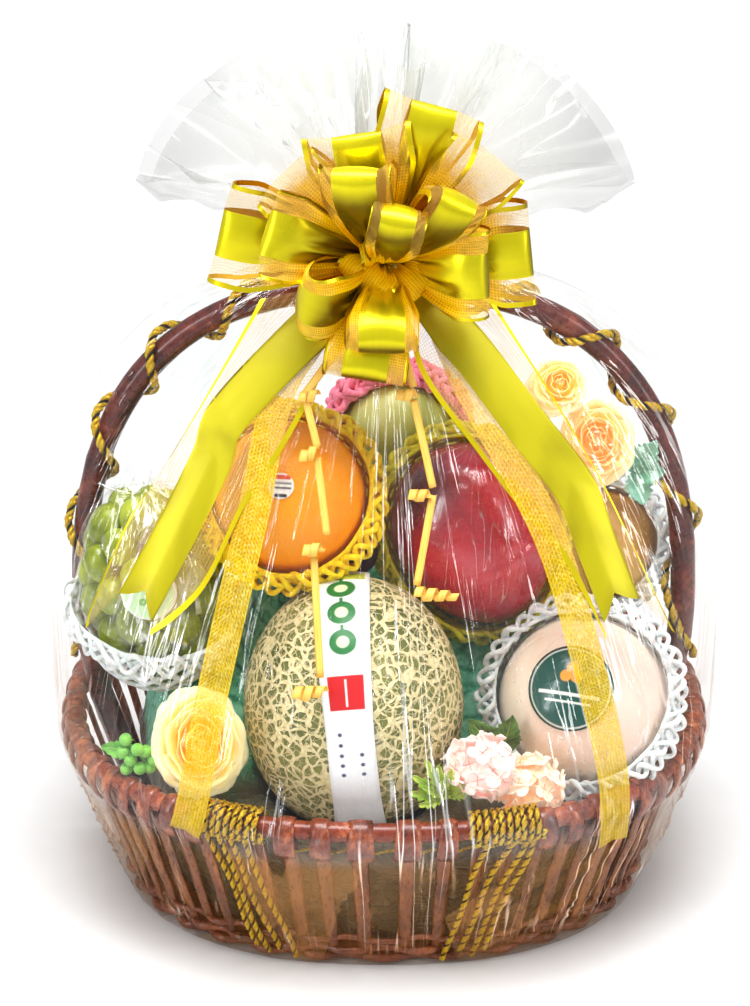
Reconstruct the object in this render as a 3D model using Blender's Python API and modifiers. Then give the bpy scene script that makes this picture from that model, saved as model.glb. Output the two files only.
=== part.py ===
"""Fruit gift basket: an oval splint basket with a hoop handle, filled with fruit in foam nets
and flowers, wrapped in clear film that is tied at the top under a pull bow.

Metres, +Z up. The origin is the middle of the underside, and -Y is the front."""

import math

import bmesh
import bpy
from mathutils import Euler, Matrix, Vector

# Basket
RIM = (0.213, 0.180)
RIM_Z = 0.118
BASE = (0.176, 0.150)
PLAN_POWER = 2.3
ROD = 0.0068
WRAP_SWELL = 1.15
WRAPS = 27
SLATS = 44
SLAT_WIDTH = 0.0115
SLAT_THICK = 0.003
FLOOR_GAP = 0.0014
BAND_HEIGHT = 0.020
BAND_THICK = 0.006
BAND_OUT = 0.0022
BASE_THICK = 0.004
GAP = 0.0003

# Hoop handle and the gold cord round it
HOOP = 0.2035
HOOP_TOP = 0.4165
HOOP_SPRING = 0.170
HOOP_POWER = 2.6
POLE = 0.0085
FOOT = (0.1635, 0.015)
CORD = 0.0022
CORD_ROUND = 0.0132
CORD_TURNS = 10
LASH = 0.0012
LASH_ROUND = 0.0109
LASH_TURNS = 4
LASH_SPREAD = 0.21
LASH_TURN = {"lashing_left": -114, "lashing_right": -72}

# Film: its wall, its outside at the floor and at the rim, and its gathered neck
FILM_THICK = 0.0008
FILM_FLOOR = (0.1825, 0.157)
FILM_RIM = (0.2242, 0.1955)
FILM_TOP = 0.4345
FILM_POWER = 2.6
TENT_POWER = 0.7
NECK = 0.012
NECK_TOP = 0.452
FAN_REACH = 0.150
AROUND = 26

# Bow
TIE = (0.0172, 0.0028)
TIE_Z = 0.4445
KNOT = Vector((0.0, -0.0300, 0.447))
KNOT_SIZE = (0.010, 0.0085, 0.009)
LOOP_START = 0.0125
RIBBON_THICK = 0.0007

# Foam nets
NET_GAP = 0.078
NET_THICK = 0.0024

# The direction most fruits and leaves face: forward and a little up
FACING = Vector((0.0, -0.906, 0.423))

# name: middle, radii, turn about X, Y and Z in degrees
FRUIT = {
    "melon": ((-0.020, -0.088, 0.158), (0.072, 0.072, 0.088), (0, 0, 0)),
    "peach": ((0.132, -0.075, 0.154), (0.056, 0.055, 0.056), (0, 0, 0)),
    "red_mango": ((0.060, -0.012, 0.246), (0.053, 0.051, 0.064), (0, -25, 0)),
    "orange": ((-0.061, -0.045, 0.288), (0.049, 0.046, 0.050), (0, -8, 0)),
    "green_mango": ((0.010, 0.062, 0.294), (0.038, 0.038, 0.036), (0, 0, 0)),
    "pear": ((0.150, 0.030, 0.220), (0.038, 0.038, 0.037), (0, 0, 0)),
    "plum": ((-0.017, -0.025, 0.238), (0.013, 0.013, 0.014), (0, 0, 0)),
    "grapes": ((-0.152, -0.053, 0.230), (0.049, 0.043, 0.069), (0, -6, 0)),
}
COLOURS = {
    "melon": (0.52, 0.50, 0.30),
    "peach": (0.90, 0.62, 0.45),
    "red_mango": (0.42, 0.02, 0.03),
    "orange": (0.95, 0.36, 0.01),
    "green_mango": (0.50, 0.55, 0.10),
    "pear": (0.45, 0.25, 0.07),
    "plum": (0.07, 0.01, 0.03),
    "grapes": (0.35, 0.50, 0.04),
}


def material(name, colour, roughness=0.5, metallic=0.0, alpha=1.0):
    found = bpy.data.materials.get(name)
    if found:
        return found
    made = bpy.data.materials.new(name)
    made.use_nodes = True
    shader = made.node_tree.nodes["Principled BSDF"]
    shader.inputs["Base Color"].default_value = (*colour, 1.0)
    shader.inputs["Roughness"].default_value = roughness
    shader.inputs["Metallic"].default_value = metallic
    shader.inputs["Alpha"].default_value = alpha
    made.diffuse_color = (*colour, alpha)
    return made


def wood(dark=1.0):
    colour = (0.20 * dark, 0.045 * dark, 0.015 * dark)
    return material(f"lacquered_willow_{dark:.1f}", colour, 0.3)


def satin():
    return material("satin_ribbon", (0.62, 0.50, 0.02), 0.35)


def organza():
    return material("gold_organza", (0.85, 0.60, 0.10), 0.4, 0.4)


def gold_cord():
    return material("gold_cord", (0.80, 0.55, 0.12), 0.35, 0.8)


def place(name, mesh, mat, parts, smooth=True):
    """Puts a finished mesh in the parts collection as one named object."""
    made = bpy.data.objects.new(name, mesh)
    parts.objects.link(made)
    mesh.materials.clear()
    mesh.materials.append(mat)
    if smooth:
        mesh.shade_smooth()
        mesh.set_sharp_from_angle(angle=math.radians(40))
    return made


def finish(name, bm, mat, parts, smooth=True):
    mesh = bpy.data.meshes.new(name)
    bm.to_mesh(mesh)
    bm.free()
    return place(name, mesh, mat, parts, smooth)


def plan(half, power, turn):
    """A point of the superellipse with these half sizes, at an angle."""
    c = math.cos(turn)
    s = math.sin(turn)
    x = half[0] * math.copysign(abs(c) ** (2 / power), c)
    y = half[1] * math.copysign(abs(s) ** (2 / power), s)
    return x, y


def between(a, b, share):
    return tuple(p + (q - p) * share for p, q in zip(a, b))


def wall_half(z):
    return between(BASE, RIM, z / RIM_Z)


def sheet(columns, rows, where, closed=False):
    """A grid of quads whose points are where(u, v), u along the columns and v up the rows."""
    bm = bmesh.new()
    bmesh.ops.create_grid(bm, x_segments=columns, y_segments=rows, size=0.5)
    for vert in bm.verts:
        u = round((vert.co.x + 0.5) * columns) / columns
        v = round((vert.co.y + 0.5) * rows) / rows
        vert.co = where(u, v)
    if closed:
        bmesh.ops.remove_doubles(bm, verts=bm.verts, dist=1e-5)
    return bm


def thicken(obj, thick, offset):
    made = obj.modifiers.new("Solidify", "SOLIDIFY")
    made.thickness = thick
    made.offset = offset
    return obj


def face_out(bm, middle):
    """Turns the faces of an open shell away from a point inside it."""
    total = sum((f.calc_center_median() - middle).dot(f.normal) * f.calc_area() for f in bm.faces)
    if total < 0:
        bmesh.ops.reverse_faces(bm, faces=bm.faces)


def tube(name, points, radius, mat, parts, sides=1, radii=None, cyclic=False):
    """A curve object along the points; sides 0, 1 and 2 give 4, 6 and 8 flats."""
    data = bpy.data.curves.new(name, "CURVE")
    data.dimensions = "3D"
    data.bevel_depth = radius
    data.bevel_resolution = sides
    data.use_fill_caps = not cyclic
    spline = data.splines.new("POLY")
    spline.points.add(len(points) - 1)
    for i, p in enumerate(points):
        spline.points[i].co = (*p, 1.0)
        if radii:
            spline.points[i].radius = radii[i]
    spline.use_cyclic_u = cyclic
    data.materials.append(mat)
    made = bpy.data.objects.new(name, data)
    parts.objects.link(made)
    return made


def as_mesh(obj):
    """The object with its modifiers, or its curve, made into a plain welded mesh."""
    bpy.context.view_layer.update()
    graph = bpy.context.evaluated_depsgraph_get()
    mesh = bpy.data.meshes.new_from_object(obj.evaluated_get(graph))
    bm = bmesh.new()
    bm.from_mesh(mesh)
    bmesh.ops.transform(bm, matrix=obj.matrix_world, verts=bm.verts)
    bmesh.ops.remove_doubles(bm, verts=bm.verts, dist=1e-6)
    bm.to_mesh(mesh)
    bm.free()
    return mesh


def fuse(name, pieces, mat, parts, solver="MANIFOLD"):
    """One closed body from overlapping pieces, without the loose scraps."""
    helper = bpy.data.collections.new(name + "_pieces")
    bpy.context.scene.collection.children.link(helper)
    solid = []
    for piece in pieces:
        copy = bpy.data.objects.new(piece.name + "_solid", as_mesh(piece))
        bpy.context.scene.collection.objects.link(copy)
        solid.append(copy)
        bpy.data.objects.remove(piece)
    for other in solid[1:]:
        bpy.context.scene.collection.objects.unlink(other)
        helper.objects.link(other)
    joined = solid[0].modifiers.new("Union", "BOOLEAN")
    joined.operation = "UNION"
    joined.operand_type = "COLLECTION"
    joined.collection = helper
    joined.solver = solver
    mesh = as_mesh(solid[0])
    for other in solid:
        bpy.data.objects.remove(other)
    bpy.data.collections.remove(helper)
    return place(name, largest(mesh), mat, parts)


def largest(mesh):
    """Keeps the biggest connected piece of a mesh."""
    bm = bmesh.new()
    bm.from_mesh(mesh)
    bmesh.ops.dissolve_degenerate(bm, dist=1e-6, edges=bm.edges)
    left = set(bm.faces)
    groups = []
    while left:
        group = {left.pop()}
        edge = list(group)
        while edge:
            face = edge.pop()
            for e in face.edges:
                for other in e.link_faces:
                    if other in left:
                        left.discard(other)
                        group.add(other)
                        edge.append(other)
        groups.append(group)
    groups.sort(key=len)
    for group in groups[:-1]:
        bmesh.ops.delete(bm, geom=list(group), context="FACES")
    bm.to_mesh(mesh)
    bm.free()
    return mesh


# ---------------------------------------------------------------- basket


def basket_base(parts):
    inner = BAND_THICK - BAND_OUT + GAP
    half = (BASE[0] - inner, BASE[1] - inner)
    bm = bmesh.new()
    bmesh.ops.create_cone(
        bm, segments=32, radius1=1, radius2=1, depth=BASE_THICK, cap_ends=True
    )
    for vert in bm.verts:
        x, y = plan(half, PLAN_POWER, math.atan2(vert.co.y, vert.co.x))
        vert.co = (x, y, vert.co.z + FLOOR_GAP + BASE_THICK / 2)
    finish("basket_base", bm, wood(0.8), parts)


def basket_wall(parts):
    """A low band of withes with the upright splints fused into its top."""
    band = bmesh.new()
    bmesh.ops.create_cone(
        band, segments=36, radius1=1, radius2=1, depth=BAND_HEIGHT, cap_ends=False
    )
    for vert in band.verts:
        z = vert.co.z + FLOOR_GAP + BAND_HEIGHT / 2
        half = [h + BAND_OUT for h in wall_half(z)]
        x, y = plan(half, PLAN_POWER, math.atan2(vert.co.y, vert.co.x))
        vert.co = (x, y, z)
    face_out(band, Vector((0, 0, BAND_HEIGHT / 2)))
    ring = thicken(finish("band", band, wood(), parts), BAND_THICK, -1.0)
    pieces = [ring]
    for i in range(SLATS):
        turn = 2 * math.pi * (i + 0.5) / SLATS
        top = RIM_Z - ROD * WRAP_SWELL - GAP
        if any(abs(turn - math.radians(a) - 2 * math.pi) < 0.13 for a in LASH_TURN.values()):
            top = RIM_Z - LASH_ROUND - 1.5 * LASH
        low = Vector((*plan(wall_half(0.016), PLAN_POWER, turn), 0.016))
        high = Vector((*plan(wall_half(top), PLAN_POWER, turn), top))
        ahead = Vector((*plan(RIM, PLAN_POWER, turn + 0.01), 0))
        behind = Vector((*plan(RIM, PLAN_POWER, turn - 0.01), 0))
        across = (ahead - behind).normalized()
        up = high - low
        out = across.cross(up).normalized()
        across = up.cross(out).normalized()
        frame = Matrix((across * SLAT_WIDTH, out * SLAT_THICK, up)).transposed().to_4x4()
        frame.translation = (low + high) / 2
        slat = bmesh.new()
        bmesh.ops.create_cube(slat, size=1.0, matrix=frame)
        bmesh.ops.recalc_face_normals(slat, faces=slat.faces)
        pieces.append(finish(f"slat_{i}", slat, wood(), parts, smooth=False))
    fuse("basket_wall", pieces, wood(), parts)


def basket_rim(parts):
    """A thick rod, swollen where the splints wrap over it."""
    points = []
    for i in range(2 * WRAPS):
        x, y = plan(RIM, PLAN_POWER, math.pi * i / WRAPS)
        points.append((x, y, RIM_Z))
    radii = [1.0, WRAP_SWELL] * WRAPS
    tube("basket_rim", points, ROD, wood(1.3), parts, 1, radii, cyclic=True)


# ---------------------------------------------------------------- handle


def hoop(share):
    """The handle's centre line from the left foot (0) to the right foot (1)."""
    side = -1 if share < 0.5 else 1
    rise = min(share, 1 - share) * 2
    leg = 0.30
    gate = 0.20
    if rise < leg:
        knee = (HOOP, HOOP_SPRING)
        bend = (RIM[0] - ROD * WRAP_SWELL - POLE - 0.0012, RIM_Z)
        if rise < gate:
            x, z = between(FOOT, bend, rise / gate)
        else:
            x, z = between(bend, knee, (rise - gate) / (leg - gate))
        return Vector((side * x, 0, z))
    turn = (rise - leg) / (1 - leg) * math.pi / 2
    x = HOOP * math.cos(turn) ** (2 / HOOP_POWER)
    z = math.sin(turn) ** (2 / HOOP_POWER)
    return Vector((side * x, 0, HOOP_SPRING + (HOOP_TOP - HOOP_SPRING) * z))


def handle(parts):
    count = 30
    points = [hoop(i / count) for i in range(count + 1)]
    tube("handle", points, POLE, wood(0.9), parts, 1)


def handle_cord(parts):
    """Gold cord wound round the hoop from rim to rim."""
    start = 0.13
    steps = CORD_TURNS * 6
    points = []
    for i in range(steps + 1):
        share = start + (1 - 2 * start) * i / steps
        along = (hoop(share + 0.004) - hoop(share - 0.004)).normalized()
        out = along.cross(Vector((0, 1, 0)))
        turn = 2 * math.pi * CORD_TURNS * i / steps
        offset = out * math.cos(turn) + Vector((0, 1, 0)) * math.sin(turn)
        points.append(hoop(share) + offset * CORD_ROUND)
    tube("handle_cord", points, CORD, gold_cord(), parts, 0)


def lashing(name, middle, side, parts):
    """Gold cord wound on the rim rod, its end carried down the wall and up again."""
    points = []
    steps = LASH_TURNS * 6
    for i in range(steps + 1):
        turn = middle + LASH_SPREAD * (i / steps - 0.5) * side
        x, y = plan(RIM, PLAN_POWER, turn)
        out = Vector((x, y, 0)).normalized()
        wind = 2 * math.pi * LASH_TURNS * i / steps
        offset = out * math.cos(wind) + Vector((0, 0, 1)) * math.sin(wind)
        points.append(Vector((x, y, RIM_Z)) + offset * LASH_ROUND)
    off = BAND_OUT + LASH + 2 * GAP
    for shift, z in [(0.46, 0.100), (0.16, 0.022), (0.08, 0.022), (0.26, 0.102)]:
        turn = middle + LASH_SPREAD * side * shift
        half = [h + off for h in wall_half(z)]
        points.append(Vector((*plan(half, PLAN_POWER, turn), z)))
    tube(name, points, LASH, gold_cord(), parts, 0)


# ---------------------------------------------------------------- fruit


def turned(angles):
    return Euler([math.radians(a) for a in angles]).to_matrix()


def skin(name, direction, extra=0.0):
    """The point of a fruit's ellipsoid that lies in a direction, moved out by extra."""
    middle, radii, angles = FRUIT[name]
    local = turned(angles).transposed() @ direction
    scale = math.sqrt(sum((c / r) ** 2 for c, r in zip(local, radii)))
    return Vector(middle) + direction * (1 / scale + extra)


def fruit_relief(name, d):
    """How much a fruit's own form differs from its ellipsoid, in a local direction."""
    if name == "pear":
        return 1 - 0.16 * math.exp(-((1 - d.z) / 0.05)) - 0.10 * math.exp(-((1 + d.z) / 0.05))
    if name == "peach":
        return 1 - 0.05 * math.exp(-((d.x / 0.15) ** 2)) * max(0.0, d.z)
    if name == "red_mango":
        return 1 - 0.05 * max(0.0, -d.z) * abs(d.x)
    return 1.0


def fruit(name, columns, rows, parts, roughness=0.4):
    middle, radii, angles = FRUIT[name]
    bm = bmesh.new()
    bmesh.ops.create_uvsphere(bm, u_segments=columns, v_segments=rows, radius=1)
    for vert in bm.verts:
        vert.co = vert.co * fruit_relief(name, vert.co.normalized())
    size = Matrix.Diagonal((*radii, 1))
    move = Matrix.Translation(middle) @ turned(angles).to_4x4() @ size
    bmesh.ops.transform(bm, matrix=move, verts=bm.verts)
    return finish(name, bm, material(name, COLOURS[name], roughness), parts)


def round_axes(axis):
    """Two directions square to an axis and to each other."""
    first = axis.cross(Vector((0, 0, 1))).normalized()
    return first, first.cross(axis).normalized()


def net(name, around, axis, reach, ripples, colour, parts, rows=4):
    """A foam net pulled over the back of a fruit, its cut edge rippled."""
    axis = axis.normalized()
    first, second = round_axes(axis)
    gap = NET_GAP * max(FRUIT[around][1])

    def where(u, v):
        turn = 2 * math.pi * u
        edge = v**3
        polar = math.radians(reach + 5 * math.sin(ripples * turn) * edge) * v
        swing = first * math.cos(turn) + second * math.sin(turn)
        d = -axis * math.cos(polar) + swing * math.sin(polar)
        lift = 0.0009 * edge * (1 + math.cos(ripples * turn))
        return skin(around, d, gap + NET_THICK + lift)

    bm = sheet(12, rows, where, closed=True)
    face_out(bm, Vector(FRUIT[around][0]))
    shell = finish(name, bm, material(name, colour, 0.7), parts)
    return thicken(shell, NET_THICK, -1.0)


def round_label(name, around, axis, radius, lift, colour, parts, grid=(10, 2)):
    """A thin round sticker lying on a fruit."""
    axis = axis.normalized()
    first, second = round_axes(axis)
    reach = radius / FRUIT[around][1][0]

    def where(u, v):
        turn = 2 * math.pi * u
        polar = reach * v
        d = axis * math.cos(polar)
        d += (first * math.cos(turn) + second * math.sin(turn)) * math.sin(polar)
        return skin(around, d, lift)

    bm = sheet(*grid, where, closed=True)
    face_out(bm, Vector(FRUIT[around][0]))
    thicken(finish(name, bm, material(name, colour, 0.3), parts), 0.0004, -1.0)


def melon_band(parts):
    """The paper band down the melon's front, leaning a little."""
    half = 0.0155
    lean = turned((0, -5, 0))

    def where(u, v):
        rise = math.radians(-62 + 170 * v)
        d = Vector(((2 * u - 1) * half / 0.075, -math.cos(rise), math.sin(rise)))
        return skin("melon", (lean @ d).normalized(), 0.0028)

    bm = sheet(2, 11, where)
    face_out(bm, Vector(FRUIT["melon"][0]))
    thicken(finish("melon_band", bm, material("paper", (0.9, 0.9, 0.88), 0.6), parts), 0.0004, -1.0)


def bunch(parts):
    """Grapes: a core with the outer berries fused on, spread by the golden angle."""
    middle, radii, angles = FRUIT["grapes"]
    berry = 0.0148
    core = bmesh.new()
    bmesh.ops.create_uvsphere(core, u_segments=9, v_segments=6, radius=1)
    inner = [r - berry * 0.95 for r in radii]
    move = Matrix.Translation(middle) @ turned(angles).to_4x4() @ Matrix.Diagonal((*inner, 1))
    bmesh.ops.transform(core, matrix=move, verts=core.verts)
    pieces = [finish("core", core, material("grapes", COLOURS["grapes"], 0.25), parts)]
    count = 22
    golden = math.pi * (3 - math.sqrt(5))
    for i in range(count):
        z = 1 - 2 * (i + 0.5) / count
        ring = math.sqrt(1 - z * z)
        d = Vector((ring * math.cos(golden * i), ring * math.sin(golden * i), z))
        at = Vector([c * (r - berry) for c, r in zip(d, radii)])
        one = bmesh.new()
        bmesh.ops.create_uvsphere(one, u_segments=6, v_segments=4, radius=berry)
        bmesh.ops.scale(one, verts=one.verts, vec=(1, 1, 1.15))
        spin = Matrix.Rotation(golden * i * 1.7, 4, "Z")
        move = Matrix.Translation(Vector(middle) + turned(angles) @ at) @ spin
        bmesh.ops.transform(one, matrix=move, verts=one.verts)
        pieces.append(finish(f"berry_{i}", one, pieces[0].data.materials[0], parts))
    fuse("grapes", pieces, material("grapes", COLOURS["grapes"], 0.25), parts)


# ---------------------------------------------------------------- flowers and leaves


def bloom(name, middle, radii, colour, petals, depth, parts):
    """A full flower head: a ball with the lapped petals as spiral ridges."""
    bm = bmesh.new()
    bmesh.ops.create_uvsphere(bm, u_segments=3 * petals, v_segments=6, radius=1)
    for vert in bm.verts:
        turn = math.atan2(vert.co.y, vert.co.x)
        polar = math.acos(max(-1.0, min(1.0, vert.co.z)))
        ridge = math.cos(petals * turn + 3.0 * polar) * math.sin(polar) * depth
        vert.co *= 1 - depth + ridge
    move = Matrix.Translation(middle) @ Matrix.Diagonal((*radii, 1))
    bmesh.ops.transform(bm, matrix=move, verts=bm.verts)
    return finish(name, bm, material(name, colour, 0.6), parts)


def leaf(name, root, tip, normal, width, bend, mat, parts):
    """A thin wavy leaf from root to tip."""
    root = Vector(root)
    along = Vector(tip) - root
    across = along.cross(Vector(normal)).normalized()
    up = across.cross(along).normalized()

    def where(u, v):
        side = 2 * u - 1
        half = width / 2 * (math.sin(math.pi * (0.06 + 0.90 * v)) ** 0.8)
        rise = bend * math.sin(math.pi * v) - 0.15 * width * (1 - abs(side))
        wave = 0.06 * width * math.sin(9 * v) * side
        return root + along * v + across * side * half + up * (rise + wave)

    bm = sheet(2, 3, where)
    return thicken(finish(name, bm, mat, parts), 0.0008, 0.0)


def spray(name, root, leaves, width, mat, parts, normal=FACING):
    """Leaves fused at their root with short stalks."""
    core = bmesh.new()
    bmesh.ops.create_cube(core, size=0.005)
    bmesh.ops.translate(core, verts=core.verts, vec=root)
    pieces = [finish(name + "_core", core, mat, parts)]
    for i, (x, y, z) in enumerate(leaves):
        tip = Vector(root) + Vector((x, y, z))
        pieces.append(leaf(f"{name}_{i}", root, tip, normal, width, 0.002, mat, parts))
    return fuse(name, pieces, mat, parts)


def berry_sprig(parts):
    """Small green berries along a bent stem, with one grey-green leaf."""
    mat = material("sprig_green", (0.18, 0.42, 0.05), 0.4)
    root = Vector((-0.155, -0.112, 0.128))
    stem = [(0.006, 0.004, -0.006), (0.001, -0.008, 0.004), (-0.004, -0.009, 0.014), (-0.012, -0.006, 0.020)]
    pieces = [tube("sprig_stem", [root + Vector(p) for p in stem], 0.0013, mat, parts, 0)]
    leaf_root = root + Vector((-0.004, -0.009, 0.013))
    tip = leaf_root + Vector((-0.024, 0.002, 0.004))
    pieces.append(leaf("sprig_leaf", leaf_root, tip, FACING, 0.012, 0.002, mat, parts))
    spots = [(-0.012, -0.007, 0.022), (0.001, -0.010, 0.015), (-0.009, -0.011, 0.009), (0.003, -0.010, 0.003)]
    for i, spot in enumerate(spots):
        ball = bmesh.new()
        bmesh.ops.create_icosphere(ball, subdivisions=1, radius=0.0050)
        bmesh.ops.translate(ball, verts=ball.verts, vec=root + Vector(spot))
        pieces.append(finish(f"sprig_berry_{i}", ball, mat, parts))
    fuse("berry_sprig", pieces, mat, parts)


# ---------------------------------------------------------------- tissue liner

# x, y, height and spread of what the crumpled tissue has to carry
SUPPORTS = [
    (0.010, 0.070, 0.268, 0.062),
    (0.150, 0.035, 0.196, 0.050),
    (-0.070, -0.010, 0.250, 0.048),
    (-0.140, -0.020, 0.185, 0.050),
    (0.060, 0.005, 0.200, 0.060),
]


def tissue_height(x, y):
    floor = 0.100
    top = floor
    for cx, cy, height, spread in SUPPORTS:
        away = math.hypot(x - cx, y - cy) / spread
        top = max(top, floor + (height - floor) * math.exp(-away * away))
    crumple = math.sin(x * 130 + 1.3 * math.sin(y * 90)) * math.sin(y * 120 + x * 40)
    return top + 0.004 * crumple


def tissue_liner(parts):
    """Crumpled tissue that fills the basket, hollowed where each thing sits in it."""
    low = 0.0058
    skirt = 0.094
    rows = 9

    def where(u, v):
        turn = 2 * math.pi * u
        step = round(v * rows)
        if step == 0:
            return Vector((0, 0, low))
        if step <= 2:
            z = low if step == 1 else skirt
            half = between((0.150, 0.136), (0.176, 0.166), (z - low) / (RIM_Z - low))
            return Vector((*plan(half, PLAN_POWER, turn), z))
        share = 1 - (step - 2) / (rows - 2)
        x, y = plan((0.178 * share, 0.168 * share), PLAN_POWER, turn)
        return Vector((x, y, tissue_height(x, y)))

    bm = sheet(20, rows, where, closed=True)
    bmesh.ops.recalc_face_normals(bm, faces=bm.faces)
    mat = material("mint_tissue", (0.25, 0.60, 0.42), 0.7)
    body = finish("tissue_liner_blank", bm, mat, parts)
    hollows = bpy.data.collections.new("hollows")
    bpy.context.scene.collection.children.link(hollows)
    for name, (middle, radii, angles) in FRUIT.items():
        grow = 0.0058 if name in ("melon", "plum") else NET_GAP * max(radii) + NET_THICK + 0.0035
        hollow(hollows, name, middle, [r + grow for r in radii], angles)
    for name, middle, radii in HEADS:
        hollow(hollows, name, middle, [r + 0.001 for r in radii], (0, 0, 0))
    for name, middle, radii in KEEP_OUT:
        hollow(hollows, name, middle, radii, (0, 0, 0))
    cut = body.modifiers.new("Hollows", "BOOLEAN")
    cut.operation = "DIFFERENCE"
    cut.operand_type = "COLLECTION"
    cut.collection = hollows
    cut.solver = "MANIFOLD"
    mesh = as_mesh(body)
    bpy.data.objects.remove(body)
    for helper in list(hollows.objects):
        bpy.data.objects.remove(helper)
    bpy.data.collections.remove(hollows)
    place("tissue_liner", largest(mesh), mat, parts)


def hollow(collection, name, middle, radii, angles):
    bm = bmesh.new()
    bmesh.ops.create_uvsphere(bm, u_segments=10, v_segments=6, radius=1.045)
    move = Matrix.Translation(middle) @ turned(angles).to_4x4() @ Matrix.Diagonal((*radii, 1))
    bmesh.ops.transform(bm, matrix=move, verts=bm.verts)
    mesh = bpy.data.meshes.new(name + "_hollow")
    bm.to_mesh(mesh)
    bm.free()
    collection.objects.link(bpy.data.objects.new(name + "_hollow", mesh))


# name, middle and radii of the flower heads
HEADS = [
    ("rose_front", (-0.119, -0.123, 0.149), (0.031, 0.027, 0.042)),
    ("rose_right", (0.137, -0.037, 0.322), (0.024, 0.018, 0.032)),
    ("rose_top", (0.110, -0.036, 0.361), (0.018, 0.016, 0.018)),
    ("hydrangea_pink", (0.061, -0.146, 0.146), (0.0185, 0.016, 0.018)),
    ("hydrangea_peach", (0.093, -0.1395, 0.127), (0.019, 0.015, 0.018)),
]
# room kept free in the tissue for leaves and berries
KEEP_OUT = [
    ("sprigs_left", (-0.158, -0.112, 0.140), (0.026, 0.024, 0.024)),
    ("sprigs_middle", (0.047, -0.150, 0.128), (0.034, 0.020, 0.030)),
    ("leaves_middle", (0.080, -0.118, 0.150), (0.030, 0.016, 0.026)),
]


# ---------------------------------------------------------------- film


def film_half(z):
    """Half width and half depth of the film's outside at a height."""
    if z <= RIM_Z:
        return between(FILM_FLOOR, FILM_RIM, z / RIM_Z)
    rise = min(1.0, max(0.0, (z - HOOP_SPRING) / (FILM_TOP - HOOP_SPRING)))
    width = (1 - rise**FILM_POWER) ** (1 / FILM_POWER)
    tent = min(1.0, (z - RIM_Z) / (FILM_TOP - RIM_Z))
    depth = (1 - tent) ** TENT_POWER
    return (
        NECK + (FILM_RIM[0] - NECK) * width,
        NECK + (FILM_RIM[1] - NECK) * depth,
    )


def film_power(z):
    return PLAN_POWER + (FILM_POWER - PLAN_POWER) * min(1.0, max(0.0, (z - RIM_Z) / 0.04))


def film_front(x, z, lift=0.0):
    """The point of the film's front at a width and height, moved out by lift."""
    half = film_half(z)
    power = film_power(z)
    depth = max(0.0, 1 - abs(x / half[0]) ** power) ** (1 / power)
    return Vector((x, -half[1] * depth - lift, z))


def fan_lean(turn):
    """How far the fan leans out from upright: the bow holds its front up."""
    front = min(1.0, max(0.0, -math.sin(turn)) * 2.2)
    back = max(0.0, math.sin(turn))
    lean = 56 - 12 * back - 48 * front
    return math.radians(lean + 20 * (1 - 0.75 * front) * math.cos(6 * turn))


def fan_length(turn):
    back = max(0.0, math.sin(turn))
    front = min(1.0, max(0.0, -math.sin(turn)) * 2.2)
    return FAN_REACH * (1 - 0.13 * back - 0.14 * front) * (1 + 0.05 * math.cos(3 * turn + 1.0) + 0.04 * math.cos(5 * turn + 2.2))


def film_wrap(parts):
    floor = [(0.0, 0.0), (0.985, 0.0)]
    wall = [0.002, 0.060, RIM_Z]
    dome = [0.150, 0.200, 0.250, 0.295, 0.335, 0.370, 0.398, 0.418, 0.430]
    fan = [0.035, 0.075, 0.115, 1.0]
    rings = len(floor) + len(wall) + len(dome) + 2 + len(fan)

    def where(u, v):
        turn = 2 * math.pi * u
        step = round(v * (rings - 1))
        if step < len(floor):
            share, z = floor[step]
            x, y = plan(film_half(0), PLAN_POWER, turn)
            return Vector((x * share, y * share, z))
        step -= len(floor)
        heights = wall + dome
        if step < len(heights):
            z = heights[step]
            return Vector((*plan(film_half(z), film_power(z), turn), z))
        step -= len(heights)
        pleat = NECK * (1 + 0.09 * math.cos(9 * turn))
        if step < 2:
            z = FILM_TOP if step == 0 else NECK_TOP
            return Vector((pleat * math.cos(turn), pleat * math.sin(turn), z))
        step -= 2
        length = fan_length(turn)
        along = length if step == len(fan) - 1 else fan[step]
        lean = fan_lean(turn)
        out = NECK + along * math.sin(lean)
        return Vector((out * math.cos(turn), out * math.sin(turn), NECK_TOP + along * math.cos(lean)))

    bm = sheet(AROUND, rings - 1, where, closed=True)
    face_out(bm, Vector((0, 0, 0.2)))
    mat = material("clear_film", (0.95, 0.95, 0.95), 0.1, 0.0, 0.15)
    thicken(finish("film_wrap", bm, mat, parts), FILM_THICK, -1.0)


# ---------------------------------------------------------------- bow and ribbons

# tip from the knot, direction across the ribbon, width and opening
LOOPS = [
    ((-0.102, -0.020, 0.024), (0, 0, 1), 0.030, 0.017),
    ((-0.072, -0.050, 0.034), (0, 0, 1), 0.028, 0.014),
    ((-0.0175, -0.035, 0.090), (1, 0, 0), 0.030, 0.017),
    ((0.030, -0.028, 0.106), (1, 0, -0.2), 0.028, 0.022),
    ((0.064, -0.035, 0.078), (1, 0, -0.8), 0.024, 0.019),
    ((-0.0185, -0.075, 0.078), (1, 0, 0), 0.027, 0.015),
    ((0.011, -0.085, 0.062), (1, 0, 0), 0.024, 0.020),
    ((0.039, -0.075, 0.060), (1, 0, 0), 0.026, 0.020),
    ((0.091, -0.020, 0.011), (0, 0, 1), 0.030, 0.018),
    ((0.062, -0.050, 0.006), (0, 0, 1), 0.028, 0.016),
    ((-0.049, -0.055, -0.012), (0.5, 0, 1), 0.026, 0.020),
    ((-0.002, -0.072, -0.033), (1, 0, 0), 0.028, 0.015),
    ((-0.013, -0.053, -0.061), (1, 0, 0), 0.028, 0.015),
    ((-0.062, -0.030, 0.064), (0.8, 0, 0.8), 0.022, 0.020),
]


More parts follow.
